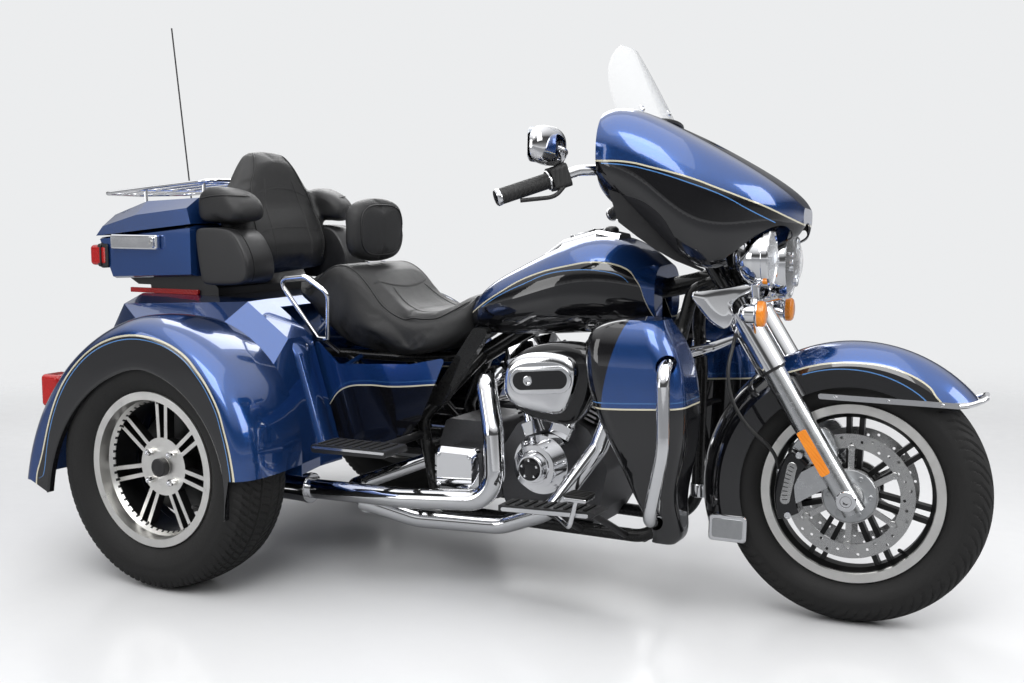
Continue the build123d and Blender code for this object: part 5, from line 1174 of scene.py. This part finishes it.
def pad(mesh, name, node, voxel, pressure, cap):
    """A sewn pad: its starting form is remeshed and drawn in, then a cloth simulation blows it up
    like a filled cover. No point may move further than the cap."""
    piece = bpy.data.objects.new(name, mesh)
    bpy.context.collection.objects.link(piece)
    mesh.materials.clear()
    closed(mesh, 1e-5)
    remesh = piece.modifiers.new("even", "REMESH")
    remesh.mode, remesh.voxel_size = "VOXEL", voxel
    smooth = piece.modifiers.new("round", "SMOOTH")
    smooth.factor, smooth.iterations = 0.5, 6
    applied(piece)
    start = moved_points(piece.data) - 0.003 * moved_points(piece.data, "normal")
    piece.data.vertices.foreach_set("co", start.ravel())
    piece.data.update()
    cloth = piece.modifiers.new("cover", "CLOTH")
    cloth.settings.quality = 4
    cloth.settings.use_pressure = True
    cloth.settings.uniform_pressure_force = pressure
    cloth.settings.tension_stiffness = cloth.settings.compression_stiffness = 25
    cloth.settings.bending_stiffness = 2.0
    cloth.settings.effector_weights.gravity = 0.0
    cloth.point_cache.frame_start, cloth.point_cache.frame_end = 1, 20
    for step in range(1, 21):
        bpy.context.scene.frame_set(step)
    applied(piece)
    bpy.context.scene.frame_set(1)
    way = moved_points(piece.data) - start
    way *= np.minimum(1.0, cap / np.maximum(np.linalg.norm(way, axis=1, keepdims=True), 1e-9))
    piece.data.vertices.foreach_set("co", (start + way).ravel())
    piece.data.update()
    finer = piece.modifiers.new("finer", "SUBSURF")
    finer.levels = finer.render_levels = 1
    applied(piece)
    piece.data.materials.clear()
    piece.data.materials.append(leather.material)
    piece.data.shade_smooth()
    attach(piece, "chassis")
    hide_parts(node)
    return piece


def applied(piece):
    """Puts the result of a piece's modifiers in its mesh and takes them off."""
    result = bpy.data.meshes.new_from_object(piece.evaluated_get(bpy.context.evaluated_depsgraph_get()))
    old = piece.data
    piece.modifiers.clear()
    piece.data = result
    bpy.data.meshes.remove(old)


def drape(target, points, way):
    """Where rays from the given points meet a pad: the points met and the surface normals there."""
    met, normals = [], []
    for point in points:
        hit, place, normal, _ = target.ray_cast(Vector(point), Vector(way))
        if hit:
            met.append(place[:])
            normals.append(normal[:])
    return np.array(met), np.array(normals)


def piping(points, normals, radius, lift=0.0):
    """A thin round cord sewn along a line on a surface: a circle swept along it, tapered at both
    ends."""
    points, normals = smoothed(points, 3), smoothed(normals, 3)
    along = unit(np.gradient(points, axis=0))
    side = unit(np.cross(along, normals))
    up = np.cross(side, along)
    from_end = np.minimum(np.arange(len(points)), np.arange(len(points))[::-1])
    taper = np.clip(from_end / 2.0, 0.02, 1.0)[:, None, None]
    return skin(points[:, None] + lift * up[:, None] + radius * taper * circles(side, up, 8),
                (False, True))


def stitches(points, normals, gap, offset, length=0.0034, radius=0.00055):
    """A row of thread stitches beside a line: short capsules at even steps, each a stretched
    octagonal tube that closes at both ends."""
    points, normals = smoothed(points, 3), smoothed(normals, 3)
    run = np.concatenate([[0], np.cumsum(np.linalg.norm(np.diff(points, axis=0), axis=1))])
    spots = np.arange(gap, run[-1] - gap, gap)
    middle = resampled(points, run, spots)
    along = unit(resampled(points, run, spots + 0.002) - middle)
    side = unit(np.cross(along, resampled(normals, run, spots)))
    up = np.cross(side, along)
    middle = middle + side * offset + up * radius * 0.6
    ring = circles(side, up, 6)
    rings = ((-0.5, 0.0), (-0.42, 0.8), (0.0, 1.0), (0.42, 0.8), (0.5, 0.0))
    points = np.stack([middle[:, None] + share * length * along[:, None] + wide * radius * ring
                       for share, wide in rings], axis=1)
    index = np.arange(points.size // 3).reshape(points.shape[:3])
    index = np.concatenate([index, index[:, :, :1]], axis=2)
    corners = [index[:, :-1, :-1], index[:, :-1, 1:], index[:, 1:, 1:], index[:, 1:, :-1]]
    return points.reshape(-1, 3), np.stack(corners, axis=-1).reshape(-1, 4)


thread = Finish("seat_thread", (0.05, 0.05, 0.05), (0.1, 0.1, 0.1), 0.5, 0.7, scale=400.0)
main_seat = pad(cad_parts["seat"].data.copy(), "seat_pad", "seat", voxel=0.0075, pressure=3.0,
                cap=0.014)
turn = np.linspace(0, 2 * np.pi, 73)[:-1]
oval = squarish(turn, 0.129, 0.093, 0.62)
puffed = domed(oval, [(-0.031, 0.034), (-0.029, 0.018), (-0.023, 0.007), (-0.012, 0.001), (0.004, 0.0),
                      (0.014, 0.003), (0.022, 0.01), (0.028, 0.022), (0.032, 0.042), (0.0335, 0.062)],
               at(0.262, 0, 0.942), (0, 1, 0), (0, 0, 1))
back_pad = pad(form([puffed]), "rider_backrest_pad", "rider_backrest", voxel=0.006, pressure=4.0,
               cap=0.01)
# The backrest level by level: height, back, front and half width.
back_table = np.array([
    (0.806, -0.146, -0.058, 0.19), (0.812, -0.152, -0.048, 0.202), (0.84, -0.158, -0.042, 0.212),
    (0.9, -0.168, -0.046, 0.222), (0.96, -0.174, -0.066, 0.232), (1.01, -0.176, -0.088, 0.232),
    (1.05, -0.176, -0.098, 0.212), (1.09, -0.176, -0.106, 0.174), (1.12, -0.176, -0.112, 0.15),
    (1.15, -0.175, -0.119, 0.124), (1.175, -0.172, -0.127, 0.098), (1.187, -0.168, -0.137, 0.07),
    (1.191, -0.162, -0.147, 0.036)])
heights = np.concatenate([[0.806], np.linspace(0.812, 1.187, 60), [1.191]])
low, high, half = resampled(back_table[:, 1:], back_table[:, 0], heights).T[:, :, None]
rounding = squarish(turn, 1.0, 1.0, 0.72, 0.55)
rows = np.stack([rear_axle_x + (low + high) / 2 + (high - low) / 2 * rounding[:, 0],
                 half * rounding[:, 1], heights[:, None] + 0 * turn], axis=2)
ends = [rows[end].mean(axis=0) + 0 * rows[end:][:1] for end in (0, -1)]
cushions = [skin(np.concatenate([ends[0], rows, ends[1]]), (False, True))]
arm_line = rounded_off([(-0.176, 0.99), (-0.174, 1.046), (-0.15, 1.07), (-0.125, 1.079),
                        (-0.075, 1.074), (-0.032, 1.054), (-0.002, 1.02), (0.004, 0.986),
                        (-0.014, 0.962), (-0.07, 0.957), (-0.135, 0.96), (-0.166, 0.968)], 3)
arm_steps = [(-0.063, 0.034), (-0.06, 0.02), (-0.052, 0.009), (-0.038, 0.002), (-0.02, 0.0),
             (0.02, 0.0), (0.038, 0.002), (0.052, 0.009), (0.06, 0.02), (0.063, 0.034)]
for side in (1, -1):
    cushions.append(domed(arm_line, arm_steps, at(0, side * 0.235, 0), (1, 0, 0), (0, 0, 1)))
big_back = pad(form(cushions), "passenger_backrest_pad", "passenger_backrest", voxel=0.0075,
               pressure=3.5, cap=0.012)
bpy.context.view_layer.update()
cords, threads = [], []


def sew(target, points, way, piped=True):
    """Piping with a row of stitches on each side of it, or a plain seam with twin stitches."""
    met, normals = drape(target, points, way)
    if len(met) < 6:
        return
    cords.append(piping(met, normals, 0.0024 if piped else 0.0011, 0.0006 if piped else -0.0002))
    for offset in ((0.0065, -0.0065) if piped else (0.0035, -0.0035)):
        threads.append(stitches(met, normals, 0.0068, offset))


def sew_seat(x, y, piped=True):
    """Sews the seat along a line seen from above, x being counted from the rear axle."""
    sew(main_seat, np.stack([x + rear_axle_x, y, 0 * x + 1.1], axis=1), (0, 0, -1), piped)


def sew_back(target, y, z, piped=True):
    """Sews a backrest along a line seen from the front."""
    sew(target, np.stack([0 * z + rear_axle_x + 0.4, y, z], axis=1), (-1, 0, 0), piped)


x = np.linspace(0.105, 0.64, 90)
half = np.interp(x, [0.084, 0.2, 0.32, 0.4, 0.475, 0.565, 0.656],
                 [0.128, 0.138, 0.15, 0.152, 0.15, 0.132, 0.066])
for side in (1, -1):
    sew_seat(x, side * (half + 0.006))
across = np.linspace(-1, 1, 60)
for x, reach, bow in ((0.352, 0.148, 0.03), (0.205, 0.128, -0.022), (0.59, 0.108, -0.03)):
    sew_seat(x + bow * (1 - across**2), reach * across, False)
x = np.linspace(0.378, 0.585, 50)
for side in (1, -1):
    sew_seat(x, side * (0.082 + 0.02 * np.sin((x - 0.378) / 0.207 * np.pi)), False)
ring = squarish(np.linspace(0, 2 * np.pi, 120), 0.104, 0.072, 0.62)
sew(back_pad, np.stack([0 * ring[:, 0] + rear_axle_x + 0.5, ring[:, 0], 0.942 + ring[:, 1]], axis=1),
    (-1, 0, 0))
z = np.linspace(0.842, 1.172, 80)
half = np.interp(z, [0.812, 0.9, 1.0, 1.05, 1.09, 1.16, 1.19],
                 [0.15, 0.156, 0.15, 0.132, 0.112, 0.072, 0.04])
for side in (1, -1):
    sew_back(big_back, side * half, z)
    sew_back(big_back, side * half[:62] * 0.56, z[:62], False)
for height, reach, bow in ((0.93, 0.15, 0.018), (1.035, 0.136, 0.03)):
    sew_back(big_back, reach * across, height + bow * (1 - across**2), False)
x = np.linspace(-0.158, -0.012, 50)
for side in (1, -1):
    sew(big_back, np.stack([x + rear_axle_x, 0 * x + side * 0.6, 1.026 + 0.016 * np.cos(x * 14 + 1.0)],
                           axis=1), (0, -side, 0))
build("seat_piping", cords, leather, "chassis", crease=60)
build("seat_stitching", threads, thread, "chassis", crease=60)
pod_line = rounded_off([(-0.166, 0.938), (-0.15, 0.95), (-0.062, 0.95), (-0.02, 0.938), (0.01, 0.9),
                        (0.029, 0.856), (0.03, 0.812), (0.014, 0.792), (-0.04, 0.785), (-0.132, 0.784),
                        (-0.146, 0.796), (-0.158, 0.86)], 2)
pod_steps = [(-0.061, 0.008), (-0.059, 0.003), (-0.054, 0.0), (0.03, 0.0), (0.0305, 0.0025),
             (0.0335, 0.0025), (0.034, 0.0), (0.054, 0.0), (0.0585, 0.0022), (0.0605, 0.006),
             (0.061, 0.009), (0.0612, 0.016)]
pods = [domed(pod_line * [-side, 1], pod_steps, at(0, side * 0.235, 0), (-side, 0, 0), (0, 0, 1))
        for side in (1, -1)]
build("speaker_pods", pods, black_plastic, "chassis", "passenger_backrest", crease=40)


# ---------------------------------------------------------------- rear fenders
# Moulded fenders with a wide rounded crown in blue and a flat black panel round the wheel arch.
# A cream pinstripe runs where the colours meet, and the arch has a rolled lip.
def two_arcs(points, share):
    """Two arcs that meet: each is part of the circle through three of the five points, and the
    share goes from 0 at the first point to 1 at the last."""
    halves = []
    for start, local in ((0, share * 2), (2, share * 2 - 1)):
        fine = arc(*points[start:start + 3], 201)
        halves.append(resampled(fine, np.linspace(0, 1, 201), np.clip(local, 0, 1)))
    return np.where(share[:, None] < 0.5, *halves)


def fender_curve(bulge):
    """The fender's edge seen from the side, from the rear to the front, pushed out by the bulge."""
    return smoothed(two_arcs([(-0.42 - bulge * 0.9, 0.258), (-0.348 - bulge * 0.85, 0.44 + bulge * 0.5),
                              (-0.038, 0.68 + bulge), (0.268 + bulge * 0.8, 0.5 + bulge * 0.55),
                              (0.298 + bulge, 0.333)], share), kink_rounds)


share, kink_rounds = np.linspace(0, 1, 161), 30
arch = smoothed(two_arcs([(-0.352, 0.23), (-0.287, 0.409), (-0.006, 0.597), (0.233, 0.457),
                          (0.278, 0.23)], share), kink_rounds)


def fender_skin(side):
    """A closed shell: from the inner edge over the crown, down the flat side to the rolled arch
    lip, and back 4 mm inside. The crown is part of a superellipse and each ring has 161 points."""
    rings = []
    crown = np.concatenate([np.linspace(0.4465, 0.6, 8),
                            0.6 + 0.095 * np.sin(np.linspace(0, np.pi / 2, 17))[1:]])
    bulges = np.where(crown <= 0.6, 0.05 - 0.016 * ((0.6 - crown) / 0.154) ** 2,
                      0.05 * (1 - np.clip((crown - 0.6) / 0.095, 0, 1) ** 2.3) ** (1 / 2.3))
    for y, bulge in zip(crown, bulges):
        rings.append((fender_curve(bulge), y))
    edge = fender_curve(0.0)
    for part in (0.15, 0.4, 0.7, 0.9):
        rings.append((edge + (arch - edge) * part, 0.695))
    way = unit(arch - [-0.02, 0.33])
    for out, y in ((0.004, 0.6948), (0.0, 0.693), (-0.0015, 0.69), (-0.0015, 0.676), (0.0015, 0.6755),
                   (0.0025, 0.69)):
        rings.append((arch + way * out, y))
    rings.append((edge + (arch - edge) * 0.5, 0.6905))
    for y, bulge in list(zip(crown, bulges))[::-1]:
        rings.append((fender_curve(max(bulge - 0.0045, -0.0045)), min(y, 0.6905)))
    points = [np.stack([ring[:, 0] + rear_axle_x, 0 * ring[:, 0] + side * y, ring[:, 1]], axis=1)
              for ring, y in rings]
    return skin(np.array(points), (True, False))


fender_arch = [(-1.8, 0.41), (-1.72, 0.4), (-1.25, 0.352), (-0.9, 0.35), (-0.39, 0.355), (0.06, 0.3586),
               (0.358, 0.3576), (0.648, 0.3448), (0.951, 0.329), (1.31, 0.3136), (1.57, 0.314),
               (1.9, 0.335)]
fender_inner = [(a, r - 0.0095) for a, r in fender_arch[1:-1]]
fender_paint = two_tone("rear_fender_two_tone", fender_arch, fender_inner,
                        around=(rear_axle_x, 0, 0.324), width=0.005)
for side, name in ((1, "left"), (-1, "right")):
    build(f"rear_{name}_fender", [fender_skin(side)], fender_paint, "chassis",
          "rear_fenders", crease=40)


# ---------------------------------------------------------------- rear body and side covers
# The moulded body between the rear wheels, with its drop-down trunk door, and the side covers
# under the seat, blue above a pinstripe and black below.
whole_blue = two_tone("body_blue", [(-5.0, -3.1), (0.0, -3.0), (5.0, -3.1)])
dress(whole_blue, "rear_body", "trunk_door", "luggage_box", "luggage_lid")
side_line = [(0.2, 0.4), (0.249, 0.449), (0.318, 0.509), (0.39, 0.519), (0.464, 0.52), (0.594, 0.534),
             (0.645, 0.54)]
dress(two_tone("side_cover_two_tone", from_rear_axle(side_line),
               from_rear_axle([(x, z + 0.012) for x, z in side_line])), "side_covers")
spine = np.array([(0.206, 0.643), (0.2235, 0.588), (0.241, 0.533), (0.2585, 0.478), (0.276, 0.423),
                  (0.2935, 0.368), (0.302, 0.342)])
fine = resampled(spine, np.arange(7), np.linspace(0, 6, 50))
taper = np.clip(np.minimum(np.arange(50), 49 - np.arange(50)) / 6.0, 0, 1) ** 0.5
section = [(0.256, -0.006), (0.261, 0.004), (0.276, 0.0115), (0.298, 0.0135), (0.318, 0.0105),
           (0.329, 0.003), (0.332, -0.006)]
strips = []
for side in (1, -1):
    lifts = [(taper * (lift + 0.006) - 0.006, side * y) for y, lift in section]
    points = np.stack([np.stack([fine[:, 0] + 0.953 * lift + rear_axle_x, 0 * taper + y,
                                 fine[:, 1] + 0.303 * lift], axis=1) for lift, y in lifts], axis=1)
    strips.append(skin(points, (False, True)))
build("rear_body_ridges", strips, whole_blue, "chassis", crease=50)
handle = [plate(oblong(0.12, 0.026, 8), 0.012, at(-0.474, 0, 0.648), (0, -1, 0), (0, 0, 1), 0.004)]
build("trunk_handle", handle, chrome, "trunk_door_body")
holder = [plate(oblong(*size, 6, corner), deep, at(-0.4735, 0, z), (0, -1, 0), (0, 0, 1), bevel)
          for size, corner, deep, z, bevel in (((0.19, 0.12), 0.008, 0.006, 0.56, 0.0015),
                                               ((0.06, 0.018), 0.004, 0.02, 0.628, 0.003))]
build("plate_holder", holder, black_plastic, "trunk_door_body")


# ---------------------------------------------------------------- luggage box, rack and rear lamps
# A moulded box with creased panels, painted blue over a black base, with a chromed latch, red
# lamps in black housings on its corners, a chromed rack on the lid and a whip antenna.
def box_pick(points):
    """Blue everywhere except the base under the box."""
    wide, high = np.abs(points[:, 1]), points[:, 2]
    return ((high < 0.7905) | ((high < 0.8075) & (wide < 0.2305))).astype(int)


zones("luggage_box", [whole_blue, black_plastic], box_pick, False)
dress(chrome, "box_latch")
dress(black_plastic, "antenna")
dress(red_lens, "rear_lamps")
strips = [plate(oblong(0.276, 0.015, 5, 0.003), 0.01, at(-0.35, side * 0.2304, 0.756),
                (-side, 0, 0), (0, 0, 1), 0.0012) for side in (1, -1)]
build("trunk_lamp_sides", strips, red_lens, "chassis")
latch = [plate(oblong(0.15, 0.022, 8), 0.005, at(-0.4, -0.3085, 0.908), (1, 0, 0), (0, 0, 1), 0.002),
         plate(oblong(0.022, 0.034, 8, 0.006), 0.007, at(-0.322, -0.3085, 0.905), (1, 0, 0), (0, 0, 1),
               0.002)]
build("latch_handle", latch, chrome, "chassis")
lock = [turned([(0, 0), (0, 0.007), (0.0016, 0.0066), (0.0016, 0.003), (0.0005, 0.0028), (0.0005, 0)],
               at(-0.322, -0.3155, 0.905), (0, -1, 0), 20)]
build("latch_lock", lock, steel, "chassis")
housings = []
for side in (1, -1):
    housings.append(plate(oblong(0.044, 0.07, 6, 0.008), 0.0035, at(-0.5405, side * 0.2925, 0.862),
                          (-side, 0, 0), (0, 0, 1), 0.001))
    housings.append(plate(oblong(0.086, 0.078, 8, 0.014), 0.006, at(-0.5445, side * 0.258, 0.862),
                          (0, -1, 0), (0, 0, 1), 0.0015))
build("corner_lamp_housings", housings, black_plastic, "chassis")
feet = []
for x, z in ((-0.5, 1.02), (-0.26, 1.034)):
    for y in (-0.15, 0.15):
        feet.append(turned([(0.0, 0.0), (0.0, 0.013), (0.003, 0.0125), (0.006, 0.009), (0.01, 0.0066),
                            (0.01, 0.0058)], at(x, y, z - 0.01), (0, 0, 1), 28))
build("rack_feet", feet, chrome, "box_lid")


# ---------------------------------------------------------------- leg shields and foot controls
# Moulded leg shields, blue over black, and footboards with ribbed rubber tops and bright edges.
shield_line = [(1.1, 0.537), (1.17, 0.539), (1.342, 0.55), (1.37, 0.551)]
shield_behind = [(0.19, 1.14), (0.548, 1.162), (0.606, 1.171), (0.675, 1.189), (0.746, 1.216)]
dress(two_tone("leg_shield_two_tone", from_rear_axle(shield_line),
               from_rear_axle([(x, z + 0.014) for x, z in shield_line]),
               behind=[(z, x + rear_axle_x) for z, x in shield_behind]), "leg_shields")
dress(black_plastic, "footboards")
dress(chrome, "foot_pedals")
# Rows of ribs: how many, first X, step, width, height, Y, a point of the board and its slope. Strips:
# length and height, thickness, place, slope and bevel.
rib_rows = ((9, 0.925, 0.0262, 0.062, 0.0035, 0.371, (0.905, 0.284), 0.049),
            (8, 0.4, 0.027, 0.084, 0.003, 0.42, (0.38, 0.396), 0.017))
edge_strips = (((0.236, 0.01), 0.0022, (1.03, 0.4078, 0.2805), 0.045, 0.0008),
               ((0.226, 0.0065), 0.0018, (0.4975, 0.4698, 0.3905), 0.017, 0.0006))
ribs, edges, pads = [], [], []
for side in (1, -1):
    for count, first, step, wide, tall, y, foot, slope in rib_rows:
        for x in first + step * np.arange(count):
            ribs.append(plate(oblong(0.01, wide, 5, 0.004), tall,
                              at(x, side * y, foot[1] + (x - foot[0]) * slope - 0.0004), (1, 0, slope),
                              (0, 1, 0), 0.001))
    for size, tall, place, slope, bevel in edge_strips:
        edges.append(plate(oblong(*size, 8), tall, at(*place) * [1, side, 1], (-side, 0, -side * slope),
                           (0, 0, 1), bevel))
pads.append(plate(oblong(0.062, 0.058, 6, 0.008), 0.005, at(1.122, -0.404, 0.3318), (1, 0, 0),
                  (0, 1, 0), 0.0012))
for row in range(4):
    pads.append(plate(oblong(0.05, 0.006, 5, 0.003), 0.0028, at(1.122, -0.4235 + row * 0.013, 0.3365),
                      (1, 0, 0), (0, 1, 0), 0.0008))
pads.append(turned([(0.0, 0.0), (0.0, 0.0125), (0.034, 0.0125), (0.036, 0.011), (0.036, 0.0)],
                   at(1.122, 0.376, 0.322), (0, 1, 0), 24))
build("board_ribs", ribs, rubber, "chassis")
build("board_edges", edges, chrome, "chassis")
build("pedal_pads", pads, rubber, "chassis")


# ---------------------------------------------------------------- floor, light and camera
# A pale, faintly glossy floor that runs out into a pale studio, large soft lights, and the camera
# where the machine is seen from its right front.
bpy.ops.mesh.primitive_plane_add(size=60, location=(0, 0, 0))
floor = bpy.context.object
floor.name = "floor"
paint = Finish("floor_paint", (0.83, 0.835, 0.845), (0.86, 0.865, 0.87), 0.16, 0.24, scale=0.8)
distance = paint.tree.nodes.new("ShaderNodeVectorMath")
distance.operation = "LENGTH"
paint.put(distance.inputs[0], paint.where)
fade = paint.node("MapRange", {"interpolation_type": "SMOOTHSTEP"}, From_Min=2.6, From_Max=5.5,
                  Value=distance.outputs["Value"])
paint.set(Alpha=paint.math("SUBTRACT", 1.0, fade.outputs["Result"]))
mirrored = paint.math("MULTIPLY", paint.node("LightPath").outputs["Is Glossy Ray"], 0.75)
either = paint.node("MixShader", Fac=mirrored)
paint.put(either.inputs[1], paint.tree.nodes["Principled BSDF"].outputs["BSDF"])
paint.put(either.inputs[2], paint.node("BsdfDiffuse", Color=(0.22, 0.225, 0.235)).outputs["BSDF"])
paint.put(paint.tree.nodes["Material Output"].inputs["Surface"], either.outputs["Shader"])
floor.data.materials.append(paint.material)
world = bpy.data.worlds.new("studio")
world.use_nodes = True
bpy.context.scene.world = world
sky = Graph(world.node_tree)
direction = sky.node("SeparateXYZ", Vector=sky.node("TexCoord").outputs["Generated"])
bands = sky.node("ValToRGB", Fac=direction.outputs["Z"])
stops = bands.color_ramp.elements
stops[0].position, stops[0].color = 0.0, (0.75, 0.76, 0.78, 1)
stops[1].position, stops[1].color = 1.0, (1.7, 1.7, 1.72, 1)
for place, shade in ((0.03, 0.42), (0.1, 0.1), (0.24, 0.07), (0.34, 0.55), (0.55, 1.2), (0.78, 1.5)):
    stops.new(place).color = (shade, shade * 1.005, shade * 1.02, 1)
path = sky.node("LightPath").outputs
strength = sky.math("MULTIPLY_ADD", path["Is Diffuse Ray"], -0.35, 0.85)
mirrored = sky.node("Background", Color=bands.outputs["Color"], Strength=strength)
backdrop = sky.tree.nodes["Background"]
sky.put(backdrop.inputs["Color"], (0.9, 0.91, 0.92))
sky.put(backdrop.inputs["Strength"], 0.93)
mix = sky.node("MixShader", Fac=path["Is Camera Ray"])
sky.put(mix.inputs[1], mirrored.outputs["Background"])
sky.put(mix.inputs[2], backdrop.outputs["Background"])
sky.put(sky.tree.nodes["World Output"].inputs["Surface"], mix.outputs["Shader"])


def studio_object(name, data, place, look):
    """A lamp or camera at a place, turned to look along a vector."""
    made = bpy.data.objects.new(name, data)
    bpy.context.collection.objects.link(made)
    made.location = place
    made.rotation_euler = Vector(look).to_track_quat("-Z", "Y").to_euler()
    return made


for name, place, size, power in (("key", (1.6, -3.8, 4.6), 3.2, 130),
                                 ("rear", (-2.6, 3.8, 3.6), 3.5, 120),
                                 ("front", (4.8, 0.4, 3.0), 2.4, 75),
                                 ("low", (-2.8, -4.2, 1.6), 2.0, 30),
                                 ("top", (0.3, -0.8, 4.9), 5.0, 60)):
    lamp = bpy.data.lights.new(name, "AREA")
    lamp.size, lamp.energy = size, power
    studio_object(name, lamp, place, Vector((0, 0, 0.5)) - Vector(place))
camera_data = bpy.data.cameras.new("camera")
camera_data.lens, camera_data.sensor_width = 42.03, 36.0
yaw, pitch = np.radians(118.56), np.radians(-6.57)
level = np.cos(pitch)
bpy.context.scene.camera = studio_object("camera", camera_data, at(2.306, -2.911, 1.018),
                                         (np.cos(yaw) * level, np.sin(yaw) * level, np.sin(pitch)))
bpy.context.scene.view_settings.view_transform = "Standard"
